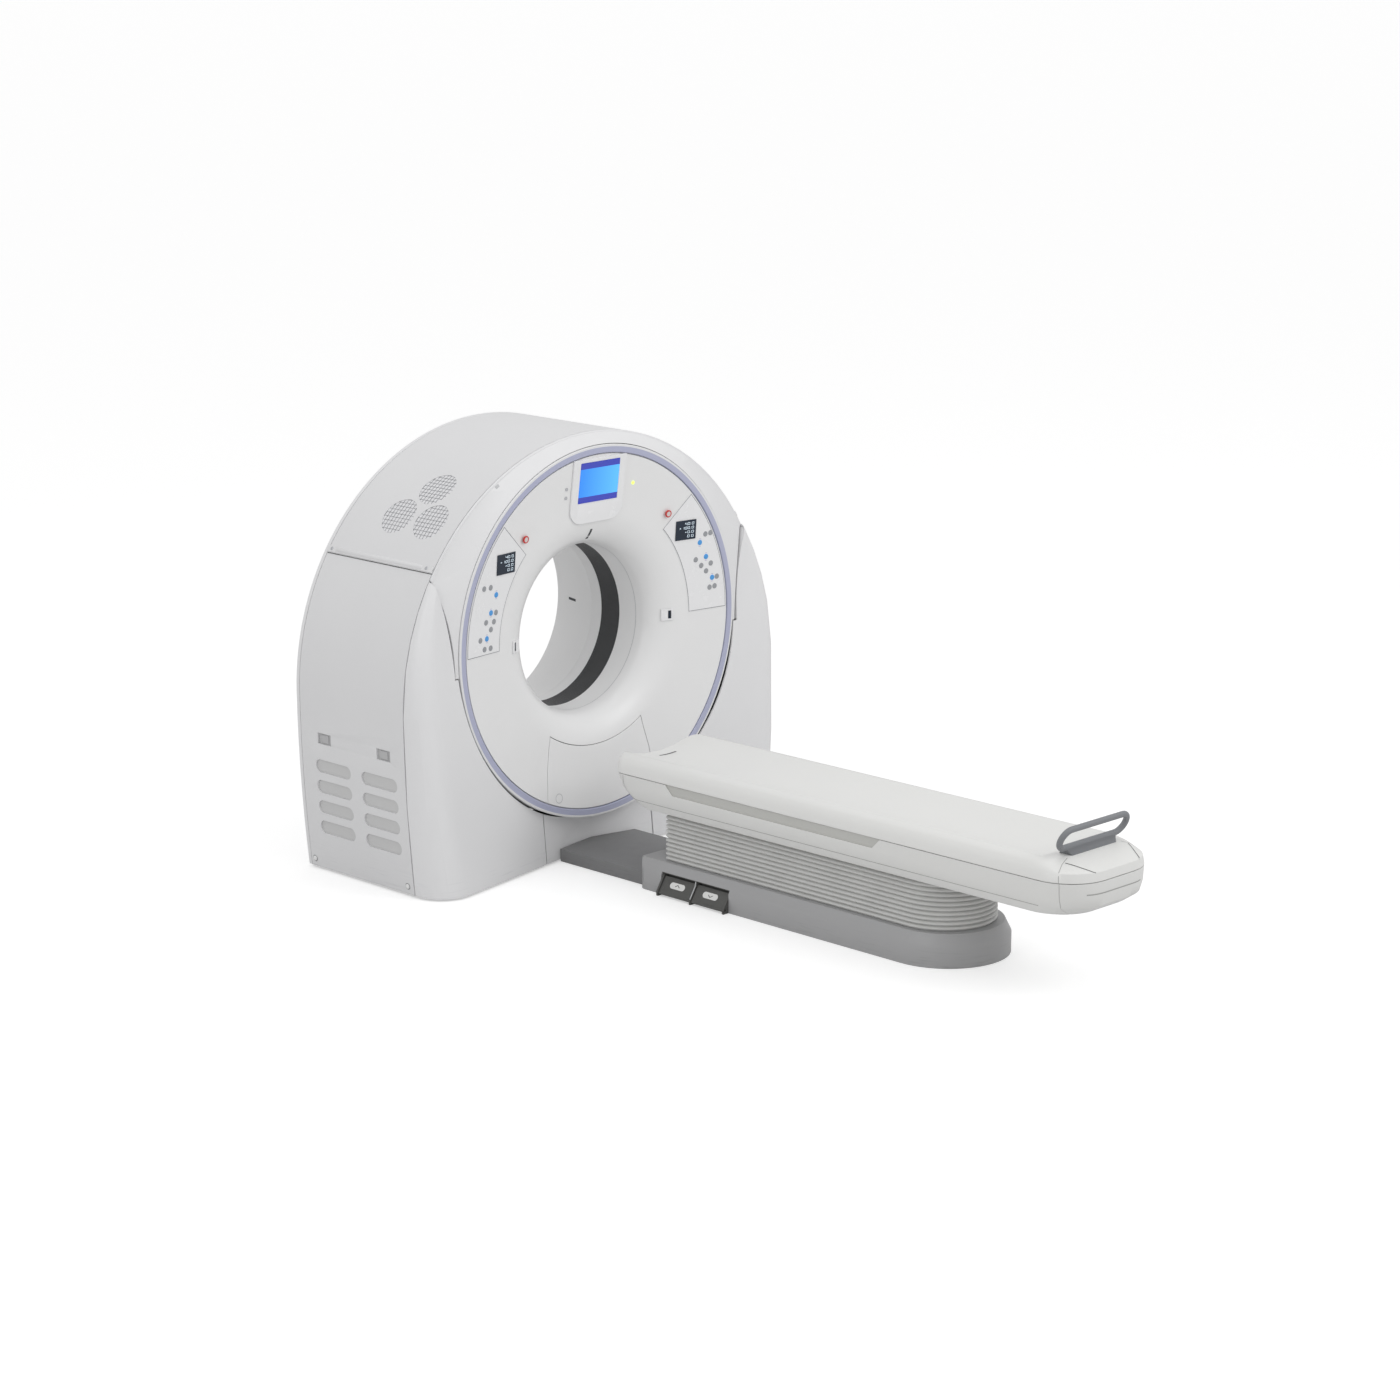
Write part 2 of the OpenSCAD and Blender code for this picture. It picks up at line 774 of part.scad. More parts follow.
// shield plate at the top of the dish
module display_housing() {
  color([0.93, 0.93, 0.94]) difference() {
    on_dish(mini_r, 90) rotate([90, 0, 0]) linear_extrude(12) union() {
      translate([-screen_w / 2 - 42, -110]) square([screen_w + 84, dish_r - mini_r + 100]);
      translate([-screen_w / 2 + 28, -180]) square([screen_w - 56, 80]);
      translate([-screen_w / 2 + 28, -110]) circle(r = 70);
      translate([screen_w / 2 - 28, -110]) circle(r = 70);
    }
    behind_dish(0.2);
    on_dish(mini_r, 90)
      box(-screen_w / 2 - 1, screen_w / 2 + 1, -20, -8,
        10 - screen_h / 2 - 1, 10 + screen_h / 2 + 1);
  }
}

module display_screen() {
  color([0.25, 0.58, 0.92]) on_dish(mini_r, 90)
    box(-screen_w / 2, screen_w / 2, -13, -8, 10 - screen_h / 2, 10 + screen_h / 2);
}

module lamp_shape(x, z) {
  on_dish(norm([x, z]), atan2(z, x)) rotate([90, 0, 0]) translate([0, 0, 0.3]) cylinder(r = 8, h = 3);
}

module status_lamps() {
  color([0.85, 0.95, 0.25]) {
    lamp_shape(screen_w / 2 + 102, 650);
    lamp_shape(-screen_w / 2 - 72, 670);
    lamp_shape(-screen_w / 2 - 72, 630);
  }
}

// light housings at both sides of the bore mouth
module light_pods() {
  color([0.9, 0.9, 0.9]) both() difference() {
    translate([pod_r, yr + 60, iso_z]) rotate([0, 0, -24]) box(-31, 31, -9, 40, -28, 28);
    behind_dish(0.2);
    translate([pod_r, yr + 60, iso_z]) rotate([0, 0, -24]) box(4, 19, -12, -4, -19, 19);
  }
}

module laser_windows() {
  color([0.1, 0.1, 0.1]) both() difference() {
    translate([pod_r, yr + 60, iso_z]) rotate([0, 0, -24]) box(5, 18, -7, -4, -18, 18);
    behind_dish(0.2);
  }
}

module bridge_plate() {
  color([0.45, 0.45, 0.44]) linear_extrude(plate_h) polygon([
    [-plate_hw, base_y0 + run], [plate_hw, base_y0 + run],
    [plate_hw, yr + skirt_in - skirt_slope * plate_hw + skirt_lean * foot_gap - run],
    [0, yr + skirt_in + skirt_lean * foot_gap - run],
    [-plate_hw, yr + skirt_in - skirt_slope * plate_hw + skirt_lean * foot_gap - run]]);
}

// long shape with a square head end and a round foot end
module long_plan(hw, y0, y1, z0, z1) {
  box(-hw, hw, y1 + hw, y0, z0, z1);
  translate([0, y1 + hw, z0]) cylinder(r = hw, h = z1 - z0);
}

// the same with a sloping side, points are [half width, z]
module long_sloped(pts, y0, yc) {
  translate([0, y0, 0]) rotate([90, 0, 0]) linear_extrude(y0 - yc) polygon(concat(pts,
    [for (k = [len(pts) - 1 : -1 : 0]) [-pts[k][0], pts[k][1]]]));
  translate([0, yc, 0]) rotate([0, 0, 180]) rotate_extrude(angle = 180)
    polygon(concat(pts, [[0, pts[len(pts) - 1][1]], [0, pts[0][1]]]));
}

// recess for the pedal unit in the left side of the base, grown by g
module pedal_well(g) {
  box(-base_hw - 40, -well_x + g, pedal_y - well_hl - g, pedal_y + well_hl + g, -1, well_z + g);
}

module base_cover() {
  color([0.55, 0.55, 0.54]) difference() {
    intersection() {
      long_sloped([[base_hw, 0], [base_hw, base_edge], [base_top_hw, base_h]], base_y0, base_y1 + base_hw);
      linear_extrude(base_h + 10) union() {
        translate([-base_hw - 5, base_y1 - 5])
          square([2 * base_hw + 10, base_y0 - base_y1 - head_t + 5]);
        translate([head_t - base_hw, base_y1]) square([2 * base_hw - 2 * head_t, base_y0 - base_y1]);
        translate([head_t - base_hw, base_y0 - head_t]) circle(r = head_t);
        translate([base_hw - head_t, base_y0 - head_t]) circle(r = head_t);
      }
    }
    long_sloped([[base_hw - 6, -1], [base_hw - 6, base_edge - 3], [rim_in, base_h - 6]],
      base_y0 - head_t, base_y1 + base_hw);
    long_plan(rim_in, bellows_y0 - bellows_t - 6, base_y1 + base_hw - rim_in, base_h - 7, base_h + 1);
    pedal_well(run);
  }
}

module base_frame() {
  color([0.3, 0.31, 0.33]) difference() {
    union() {
      long_plan(base_hw - 6 - run, base_y0 - head_t - run, base_y1 + 6 + run, 0, 20);
      for (y = [pivot_y1, pivot_y2]) {
        both() box(arm_x + arm_t / 2 + 5, arm_x + arm_t / 2 + 25, y - 36, y + 36, 20, pivot_z + 36);
        xcyl(pin_r, -arm_x - arm_t / 2 - 26, arm_x + arm_t / 2 + 26, y, pivot_z);
      }
    }
    for (x = [-180, 180]) {
      for (y = [-1000, -2300]) {
        translate([x, y, -1]) cylinder(r = 7, h = 22);
      }
    }
  }
}

module lift_gearbox() {
  color([0.36, 0.38, 0.42]) difference() {
    union() {
      box(-90, 90, pivot_y1 - 80, pivot_y1 + 60, 20, pivot_z + 45);
      ycyl(42, pivot_y1 + 60, pivot_y1 + 200, 0, pivot_z);
    }
    xcyl(pin_r + fit, -95, 95, pivot_y1, pivot_z);
  }
}

// one swing arm with its lower pivot at y
module swing_arm(y) {
  translate([0, y, pivot_z]) rotate([-arm_deg, 0, 0]) difference() {
    union() {
      both() {
        xcyl(eye_r, arm_x - arm_t / 2, arm_x + arm_t / 2, 0, 0);
        xcyl(eye_r, arm_x - arm_t / 2, arm_x + arm_t / 2, -arm_l, 0);
        box(arm_x - arm_t / 2, arm_x + arm_t / 2, -arm_l, 0, -24, 24);
      }
      xcyl(22, -arm_x, arm_x, -arm_l / 2, 0);
    }
    xcyl(pin_r + fit, -arm_x - 40, arm_x + 40, 0, 0);
    xcyl(pin_r + fit, -arm_x - 40, arm_x + 40, -arm_l, 0);
  }
}

module lift_arm_front() {
  color([0.5, 0.51, 0.53]) swing_arm(pivot_y1);
}

module lift_arm_rear() {
  color([0.5, 0.51, 0.53]) swing_arm(pivot_y2);
}

// cheek of the pedal unit, its middle at y
module pedal_cheek(y) {
  translate([-base_hw, y + cheek_w / 2, 0]) rotate([90, 0, 0]) linear_extrude(cheek_w) polygon([
    [6, 0], [-31, 0], [-31, hinge_z + 5], [-24, hinge_z + 15], [14, well_z - 8],
    [base_hw - well_x, well_z - 8], [base_hw - well_x, 20 + run], [6, 20 + run]]);
}

module pedal_housing() {
  color([0.3, 0.3, 0.29]) difference() {
    union() {
      difference() {
        box(-base_hw + 9, -well_x, pedal_y - well_hl, pedal_y + well_hl, 20 + run, well_z);
        box(-base_hw + 8, -well_x - 4, pedal_y - well_hl + 4, pedal_y + well_hl - 4, 24 + run, well_z - 4);
      }
      pedal_cheek(pedal_y - well_hl + cheek_w / 2);
      pedal_cheek(pedal_y);
      pedal_cheek(pedal_y + well_hl - cheek_w / 2);
    }
    ycyl(5 + fit, pedal_y - well_hl - 1, pedal_y + well_hl + 1, -hinge_x, hinge_z);
  }
}

// one pedal, its middle at y
module pedal(y) {
  translate([-hinge_x, y, hinge_z]) {
    translate([0, -pedal_l / 2 - 6, 0]) rotate([-90, 0, 0]) cylinder(r = 5, h = pedal_l + 12);
    rotate([0, -pedal_deg, 0]) {
      box(-7, 78, -pedal_l / 2, pedal_l / 2, -6, 4);
      box(28, 58, -34, 34, 4, 6);
    }
  }
}

module pedal_up() {
  color([0.28, 0.28, 0.27]) pedal(pedal_y + pedal_l / 2 + cheek_w / 2 + 2);
}

module pedal_down() {
  color([0.28, 0.28, 0.27]) pedal(pedal_y - pedal_l / 2 - cheek_w / 2 - 2);
}

module bellows() {
  color([0.7, 0.7, 0.69]) difference() {
    long_plan(bellows_hw, bellows_y0, bellows_y1, base_h + run, flange_z - run);
    long_plan(bellows_hw - bellows_t, bellows_y0 - bellows_t, bellows_y1 + bellows_t,
      base_h - 1, flange_z + 1);
  }
}

module bellows_flange() {
  color([0.4, 0.4, 0.4]) difference() {
    long_plan(bellows_hw, bellows_y0, bellows_y1, flange_z, flange_z + flange_t);
    long_plan(bellows_hw - bellows_t - 2, bellows_y0 - bellows_t, bellows_y1 + bellows_t,
      flange_z - 1, flange_z + flange_t + 1);
  }
}

module couch_frame() {
  color([0.42, 0.43, 0.45]) {
    both() box(beam_in, beam_out, cap_y + 4, couch_y0 - 110, frame_z0, rail_z);
    for (y = [couch_y0 - 150, up_y1 - 20, up_y2 - 20, cap_y + 4]) {
      box(-beam_in, beam_in, y, y + 40, frame_z0, rail_z);
    }
    for (y = [up_y1, up_y2]) {
      both() box(arm_x + arm_t / 2 + 5, arm_x + arm_t / 2 + 20, y - 34, y + 34, up_z - 34, frame_z0 + 5);
      xcyl(pin_r, -arm_x - arm_t / 2 - 20, arm_x + arm_t / 2 + 20, y, up_z);
    }
    for (y = [bellows_y0 - 260, bellows_y1 + 300]) {
      both() box(beam_out - 2, bellows_hw - 2, y, y + 40, flange_z + flange_t + run, frame_z0 + 20);
    }
    for (y = [couch_y0 - 700, couch_y1 + 500]) {
      both() box(beam_out - 2, couch_hw - couch_t - 1.5 - run, y, y + 60, rail_z - 12, rail_z);
    }
    both() box(160, 180, cap_y + 40, couch_y0 - 130, rail_z, rail_z + rail_h);
    box(-40, 40, cap_y + 40, couch_y0 - 130, rail_z, rail_z + 13);
  }
}

// rounded plan: half width, head end, foot end, head and foot corner radii
function plan_pts(hw, y0, y1, r0, r1) = concat(
  [for (a = [0 : 15 : 90]) [hw - r0 + r0 * cos(a), y0 - r0 + r0 * sin(a)]],
  [for (a = [90 : 15 : 180]) [-hw + r0 + r0 * cos(a), y0 - r0 + r0 * sin(a)]],
  [for (a = [180 : 10 : 270]) [-hw + r1 + r1 * cos(a), y1 + r1 + r1 * sin(a)]],
  [for (a = [270 : 10 : 360]) [hw - r1 + r1 * cos(a), y1 + r1 + r1 * sin(a)]]);

module slab(z, hw, y0, y1, r0, r1) {
  translate([0, 0, z]) linear_extrude(1) polygon(plan_pts(hw, y0, y1, r0, r1));
}

module couch_shape(t) {
  hull() {
    slab(couch_z0 + (t > 0 ? t : 0), couch_hw - 25 - t, couch_y0 - 150 - t, couch_y1 + 66 + t, 60, foot_r - 12);
    slab(couch_z0 + 36, couch_hw - 7 - t, couch_y0 - 84 - t, couch_y1 + 14 + t, 70, foot_r);
    slab(couch_z0 + 80, couch_hw - 1.5 - t, couch_y0 - 30 - t, couch_y1 + 2 + t, 72, foot_r + 2);
    slab(couch_z1 - 1 + (t > 0 ? 2 : 0), couch_hw - t, couch_y0 - t, couch_y1 + t, 70, foot_r);
  }
}

module couch_shell() {
  difference() {
    couch_shape(0);
    couch_shape(couch_t);
    long_plan(bellows_hw + 8, bellows_y0 + 45, bellows_y1 - 8, couch_z0 - 5, couch_z0 + couch_t + 1);
    both() translate([couch_hw - 6, couch_y0, couch_z1]) rotate([90, 0, 90]) linear_extrude(12)
      polygon([[-1535, -42], [-375, -42], [-333, 1], [-1578, 1]]);
  }
}

module couch_body() {
  color([0.87, 0.87, 0.855]) intersection() {
    couch_shell();
    box(-couch_hw - 5, couch_hw + 5, cap_y + 2, couch_y0 + 5, couch_z0 - 5, couch_z1 + 5);
  }
}

module couch_end_cap() {
  color([0.87, 0.87, 0.855]) {
    intersection() {
      couch_shell();
      box(-couch_hw - 5, couch_hw + 5, couch_y1 - 5, cap_y, couch_z0 - 5, couch_z1 + 5);
    }
    both() box(beam_in, beam_out, couch_y1 + 46, cap_y + 4, frame_z0 + 4, rail_z - 4);
  }
}

module tabletop() {
  color([0.9, 0.9, 0.885]) {
    difference() {
      hull() {
        slab(top_z0, couch_hw, couch_y0, couch_y1, 70, foot_r);
        slab(top_z0 + 36, couch_hw - 5, couch_y0 + 6, couch_y1 + 5, 70, foot_r);
        slab(top_z1 - 20, couch_hw - 17, couch_y0 + 2, couch_y1 + 68, 66, foot_r - 20);
        slab(top_z1 - 1, couch_hw - 46, couch_y0 - 10, couch_y1 + 118, 60, foot_r - 50);
      }
      ycyl((trough_w * trough_w / 4 + trough_d * trough_d) / (2 * trough_d), couch_y1 + 215, couch_y0 + 50, 0,
        top_z1 - trough_d + (trough_w * trough_w / 4 + trough_d * trough_d) / (2 * trough_d));
    }
    for (y = [carr_y1 - 60, carr_y2 - 60]) {
      both() box(148, 192, y, y + 120, rail_z + rail_h + run, top_z0 + 2);
    }
    box(-50, 50, carr_y1 - 660, carr_y1 - 460, rail_z + 14, top_z0 + 2);
  }
}

// round end of the handle loop
module handle_bow(x) {
  translate([x, 0, 0]) rotate([90, 0, 0]) rotate([0, 0, x > 0 ? -90 : 90])
    rotate_extrude(angle = 180) translate([handle_bend, 0]) circle(r = handle_r);
}

module foot_handle() {
  color([0.5, 0.5, 0.5]) {
    translate([0, handle_y, handle_z]) rotate([handle_lean, 0, 0]) {
      xcyl(handle_r, -handle_half, handle_half, 0, -handle_bend);
      xcyl(handle_r, -handle_half, handle_half, 0, handle_bend);
      handle_bow(handle_half);
      handle_bow(-handle_half);
    }
    hull() {
      box(-138, 138, handle_y - 8, handle_y + 58, top_z1 + run, top_z1 + run + 1);
      box(-156, 156, handle_y + 10, handle_y + 30, top_z1 + 27, top_z1 + 28);
    }
  }
}

gantry_base();
cover_frame();
stator_ring();
bearing_outer();
drive_stator();
brush_block();
rotor_plate();
slip_ring();
xray_tube();
collimator();
detector();
hv_generator();
balance_weight();
top_cover();
side_cover_left();
side_cover_right();
vent_filters();
cover_latches();
top_grilles();
cover_screws();
front_bezel();
skirt_left();
skirt_right();
skirt_centre();
rear_cover();
rear_funnel();
drum_rim();
accent_ring();
front_dish();
dish_flap();
bore_liner_front();
bore_liner_rear();
scan_window();
panel_left();
panel_right();
mini_display_left();
mini_display_right();
stop_button_left();
stop_button_right();
display_housing();
display_screen();
status_lamps();
light_pods();
laser_windows();
bridge_plate();
base_cover();
base_frame();
lift_gearbox();
pedal_housing();
pedal_up();
pedal_down();
bellows();
bellows_flange();
lift_arm_front();
lift_arm_rear();
couch_frame();
couch_body();
couch_end_cap();
tabletop();
foot_handle();
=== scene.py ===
# CT scanner: an arched gantry round a wide flared bore, and a patient couch on a bellows lift.
# X runs across, Y along the bore with the couch on the -Y side, Z up. Sizes in metres.
import json
import math
import bpy
import bmesh
from mathutils import Matrix, Vector
from mathutils.bvhtree import BVHTree

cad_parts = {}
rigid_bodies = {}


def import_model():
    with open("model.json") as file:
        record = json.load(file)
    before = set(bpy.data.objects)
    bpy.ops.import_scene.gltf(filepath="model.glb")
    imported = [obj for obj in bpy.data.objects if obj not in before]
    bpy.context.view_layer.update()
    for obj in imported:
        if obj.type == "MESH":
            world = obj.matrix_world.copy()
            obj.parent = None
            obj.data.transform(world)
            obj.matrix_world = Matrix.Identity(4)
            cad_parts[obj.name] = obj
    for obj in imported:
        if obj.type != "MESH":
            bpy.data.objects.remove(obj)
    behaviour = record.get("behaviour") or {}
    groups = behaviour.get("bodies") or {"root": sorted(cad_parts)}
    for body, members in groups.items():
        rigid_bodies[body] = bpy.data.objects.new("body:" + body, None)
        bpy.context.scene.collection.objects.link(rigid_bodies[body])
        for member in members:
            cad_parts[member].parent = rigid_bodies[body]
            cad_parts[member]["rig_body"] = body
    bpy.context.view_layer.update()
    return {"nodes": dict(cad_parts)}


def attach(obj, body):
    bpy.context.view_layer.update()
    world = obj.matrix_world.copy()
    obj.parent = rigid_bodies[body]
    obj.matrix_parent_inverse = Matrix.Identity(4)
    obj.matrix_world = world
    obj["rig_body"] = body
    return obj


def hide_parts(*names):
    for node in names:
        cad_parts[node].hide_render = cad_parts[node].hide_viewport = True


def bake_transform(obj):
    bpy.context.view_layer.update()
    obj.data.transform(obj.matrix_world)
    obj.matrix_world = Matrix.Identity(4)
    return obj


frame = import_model()
scene = bpy.context.scene

# Studio.
# A seamless pale floor under one broad lamp at the front, with weaker ones at the left and above.
# The camera stands well back at the couch's left, about four metres up, with a long lens.


def plug(tree, node, inputs):
    """Sets a node's inputs, each to a value or to another node's output."""
    for key, value in inputs.items():
        if isinstance(value, bpy.types.NodeSocket):
            tree.links.new(value, node.inputs[key])
        else:
            node.inputs[key].default_value = value


def add(tree, kind, inputs=None, **settings):
    node = tree.nodes.new(kind)
    for key, value in settings.items():
        setattr(node, key, value)
    plug(tree, node, inputs or {})
    return node


def maths(tree, operation, *values, clamp=False):
    node = add(tree, "ShaderNodeMath", dict(enumerate(values)), operation=operation, use_clamp=clamp)
    return node.outputs[0]


def ranged(tree, value, low, high, value_low=0.0, value_high=1.0):
    """A value carried from its own range to the one from low to high."""
    node = add(tree, "ShaderNodeMapRange", {"Value": value, "From Min": value_low, "From Max": value_high,
                                            "To Min": low, "To Max": high})
    return node.outputs[0]


def new_finish(name):
    """A new material, with its node tree and its Principled shader."""
    made = bpy.data.materials.new(name)
    made.use_nodes = True
    return made, made.node_tree, made.node_tree.nodes["Principled BSDF"]


scene.view_settings.view_transform = "Standard"

camera = bpy.data.objects.new("camera", bpy.data.cameras.new("camera"))
camera.data.sensor_width = 36.0
camera.data.lens = 88.5
camera.data.clip_end = 2000.0
camera.location = (-10.435, -11.226, 4.347)
camera.rotation_euler = (math.radians(76.48), 0.0, math.radians(-45.36))
scene.collection.objects.link(camera)
scene.camera = camera

AIR_LIGHT = 0.72
world = bpy.data.worlds.new("studio_air")
world.use_nodes = True
scene.world = world
air = world.node_tree
ray = add(air, "ShaderNodeLightPath").outputs
seen = maths(air, "MAXIMUM", ray["Is Camera Ray"], ray["Is Transmission Ray"])
plug(air, air.nodes["Background"], {"Color": (1.0, 1.0, 1.0, 1.0),
                                    "Strength": ranged(air, seen, AIR_LIGHT, 1.0)})

for name, place, aim, size, power in (
    ("front_lamp", (3.5, -8.5, 6.5), (0.0, -1.0, 0.9), 5.0, 190.0),
    ("left_lamp", (-9.0, -2.5, 4.5), (0.0, -0.8, 0.8), 5.0, 95.0),
    ("top_lamp", (-0.5, -1.5, 8.0), (0.0, -1.2, 0.5), 6.0, 70.0),
):
    lamp = bpy.data.objects.new(name, bpy.data.lights.new(name, "AREA"))
    lamp.data.size = size
    lamp.data.energy = power
    lamp.location = place
    lamp.rotation_euler = (Vector(aim) - Vector(place)).to_track_quat("-Z", "Y").to_euler()
    scene.collection.objects.link(lamp)

SQUARE = ((-1, -1), (1, -1), (1, 1), (-1, 1))
FLOOR_HALF = 500.0
FLOOR_LIFT = 0.47
floor_mesh = bpy.data.meshes.new("studio_floor")
floor_mesh.from_pydata([(x * FLOOR_HALF, y * FLOOR_HALF, 0.0) for x, y in SQUARE], [], [(0, 1, 2, 3)])
studio_floor = bpy.data.objects.new("studio_floor", floor_mesh)
scene.collection.objects.link(studio_floor)
floor_paint, tree, shader = new_finish("studio_floor")
ray = add(tree, "ShaderNodeLightPath").outputs
plug(tree, shader, {"Base Color": (0.68, 0.68, 0.68, 1.0), "Roughness": 0.7,
                    "Emission Color": (1.0, 1.0, 1.0, 1.0),
                    "Emission Strength": maths(tree, "MULTIPLY", ray["Is Camera Ray"], FLOOR_LIFT)})
floor_mesh.materials.append(floor_paint)

# Base frame, rotor and bearing.
# Welded and painted steel beams stand on the floor and carry the bearing. The rotor is a machined
# alloy ring with the tube, generator and detector bolted on. All of it is behind the covers.


def srgb(r, g, b):
    parts = [c / 255 / 12.92 if c <= 10 else ((c / 255 + 0.055) / 1.055) ** 2.4 for c in (r, g, b)]
    return (*parts, 1.0)


def noise(tree, place, scale, detail, roughness=0.5):
    node = add(tree, "ShaderNodeTexNoise", {"Vector": place, "Scale": scale, "Detail": detail,
                                            "Roughness": roughness})
    return node.outputs["Fac"]


def mixed(tree, share, first, second):
    """A colour between two others."""
    return add(tree, "ShaderNodeMix", {"Factor": share, 6: first, 7: second}, data_type="RGBA").outputs[2]


def bumped(tree, height, strength, distance):
    node = add(tree, "ShaderNodeBump", {"Height": height, "Strength": strength, "Distance": distance})
    return node.outputs[0]


def metal_finish(name, colour, worn, metallic, gloss, scale, relief):
    """A metal or enamel that clouds between two tones, with a fine grain."""
    made, tree, shader = new_finish(name)
    place = add(tree, "ShaderNodeTexCoord").outputs["Object"]
    cloud = noise(tree, place, scale, 6.0, 0.65)
    grain = noise(tree, place, 420.0, 2.0)
    plug(tree, shader, {"Base Color": mixed(tree, cloud, colour, worn), "Metallic": metallic,
                        "Roughness": ranged(tree, cloud, *gloss),
                        "Normal": bumped(tree, grain, relief, 0.0005)})
    return made


beam_paint = metal_finish("beam_paint", srgb(92, 95, 100), srgb(78, 80, 84), 0.0, (0.4, 0.6), 14.0, 0.15)
machined_alloy = metal_finish("machined_alloy", srgb(186, 188, 191), srgb(164, 166, 170), 1.0, (0.25, 0.4),
                              30.0, 0.08)
ground_steel = metal_finish("ground_steel", srgb(190, 192, 195), srgb(160, 162, 166), 1.0, (0.18, 0.34),
                            60.0, 0.06)
copper_winding = metal_finish("copper_winding", srgb(168, 104, 66), srgb(120, 70, 44), 1.0, (0.3, 0.5),
                              90.0, 0.3)
brush_black = metal_finish("brush_black", srgb(40, 41, 43), srgb(52, 53, 55), 0.0, (0.45, 0.65), 50.0, 0.2)
for finish, names in (
    (beam_paint, ("gantry_base", "cover_frame", "stator_ring", "collimator", "detector", "balance_weight",
                  "base_frame", "lift_gearbox", "lift_arm_front", "lift_arm_rear", "bellows_flange")),
    (machined_alloy, ("rotor_plate", "xray_tube", "hv_generator", "couch_frame")),
    (ground_steel, ("bearing_outer",)),
    (copper_winding, ("drive_stator", "slip_ring")),
    (brush_black, ("brush_block",)),
):
    for name in names:
        mesh = frame["nodes"][name].data
        mesh.materials.clear()
        mesh.materials.append(finish)

# Gantry covers.
# Moulded plastic shells, white with a fine satin texture, screwed to the cover frame with open seams.
# The skirts' cheeks turn in at their edges, and a round bar stiffens the lip of the top cover.
moulded_skin = bpy.data.node_groups.new("moulded_skin", "ShaderNodeTree")
for name, kind in (("Colour", "Color"), ("Shade", "Color"), ("Grain size", "Float"),
                   ("Scuff height", "Float")):
    moulded_skin.interface.new_socket(name, in_out="INPUT", socket_type="NodeSocket" + kind)
for name, kind in (("Colour", "Color"), ("Dulling", "Float"), ("Grain", "Float")):
    moulded_skin.interface.new_socket(name, in_out="OUTPUT", socket_type="NodeSocket" + kind)
given = add(moulded_skin, "NodeGroupInput").outputs
place = add(moulded_skin, "ShaderNodeTexCoord").outputs["Object"]
cloud = noise(moulded_skin, place, 2.4, 4.0)
smear = noise(moulded_skin, place, 16.0, 6.0, 0.65)
grain = noise(moulded_skin, place, maths(moulded_skin, "DIVIDE", 1.0, given["Grain size"]), 2.0)
height = add(moulded_skin, "ShaderNodeSeparateXYZ", {0: place}).outputs["Z"]
low = ranged(moulded_skin, height, 1.0, 0.0, 0.0, given["Scuff height"])
stretch = add(moulded_skin, "ShaderNodeMapping", {"Vector": place, "Scale": (5.0, 5.0, 70.0)}).outputs[0]
marks = ranged(moulded_skin, noise(moulded_skin, stretch, 1.6, 5.0), 0.0, 1.0, 0.56, 0.72)
scuff = maths(moulded_skin, "MULTIPLY", low, marks)
tone = maths(moulded_skin, "MULTIPLY_ADD", cloud, 0.35, scuff, clamp=True)
add(moulded_skin, "NodeGroupOutput", {
    "Colour": mixed(moulded_skin, tone, given["Colour"], given["Shade"]),
    "Dulling": maths(moulded_skin, "MULTIPLY_ADD", scuff, 0.5, smear, clamp=True),
    "Grain": grain,
})


def moulded(name, colour, shade, gloss=(0.3, 0.46), grain=0.0018, relief=0.08, scuff=0.001):
    """A moulded plastic in two close tones, with a grain and, up to a height, scuffs."""
    made, tree, shader = new_finish(name)
    skin = add(tree, "ShaderNodeGroup", {"Colour": colour, "Shade": shade, "Grain size": grain,
                                         "Scuff height": scuff}, node_tree=moulded_skin).outputs
    plug(tree, shader, {"Base Color": skin["Colour"], "Roughness": ranged(tree, skin["Dulling"], *gloss),
                        "Normal": bumped(tree, skin["Grain"], relief, 0.0004)})
    return made


def dressed(node, finish, edge=0.002, corner=32.0):
    """A piece's shell with its corners eased, in place of the node it is made from."""
    source = frame["nodes"][node]
    shell = bpy.data.objects.new(node + "_shell", source.data.copy())
    scene.collection.objects.link(shell)
    work = bmesh.new()
    work.from_mesh(shell.data)
    bmesh.ops.remove_doubles(work, verts=work.verts, dist=2e-5)
    bmesh.ops.dissolve_limit(work, angle_limit=0.002, verts=work.verts, edges=work.edges)
    for face in work.faces:
        face.smooth = True
    for side in work.edges:
        side.smooth = len(side.link_faces) == 2 and side.calc_face_angle(0.0) < math.radians(corner)
    work.to_mesh(shell.data)
    work.free()
    shell.data.materials.clear()
    shell.data.materials.append(finish)
    if edge:
        ease = shell.modifiers.new("eased_edges", "BEVEL")
        ease.width = edge
        ease.segments = 2
        ease.limit_method = "ANGLE"
        ease.angle_limit = math.radians(corner)
        ease.harden_normals = True
        ease.miter_outer = "MITER_ARC"
    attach(shell, source["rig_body"])
    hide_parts(node)
    return shell


def shell_of(node):
    return bpy.data.objects[node + "_shell"]


def worked(name, work, *finishes):
    """An object of a worked mesh in its finishes, not yet in the scene."""
    mesh = bpy.data.meshes.new(name)
    work.to_mesh(mesh)
    work.free()
    for finish in finishes:
        mesh.materials.append(finish)
    return bpy.data.objects.new(name, mesh)


def placed(name, work, body, *finishes):
    """A piece of a worked mesh in its finishes, riding on a body."""
    piece = worked(name, work, *finishes)
    scene.collection.objects.link(piece)
    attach(piece, body)
    return piece


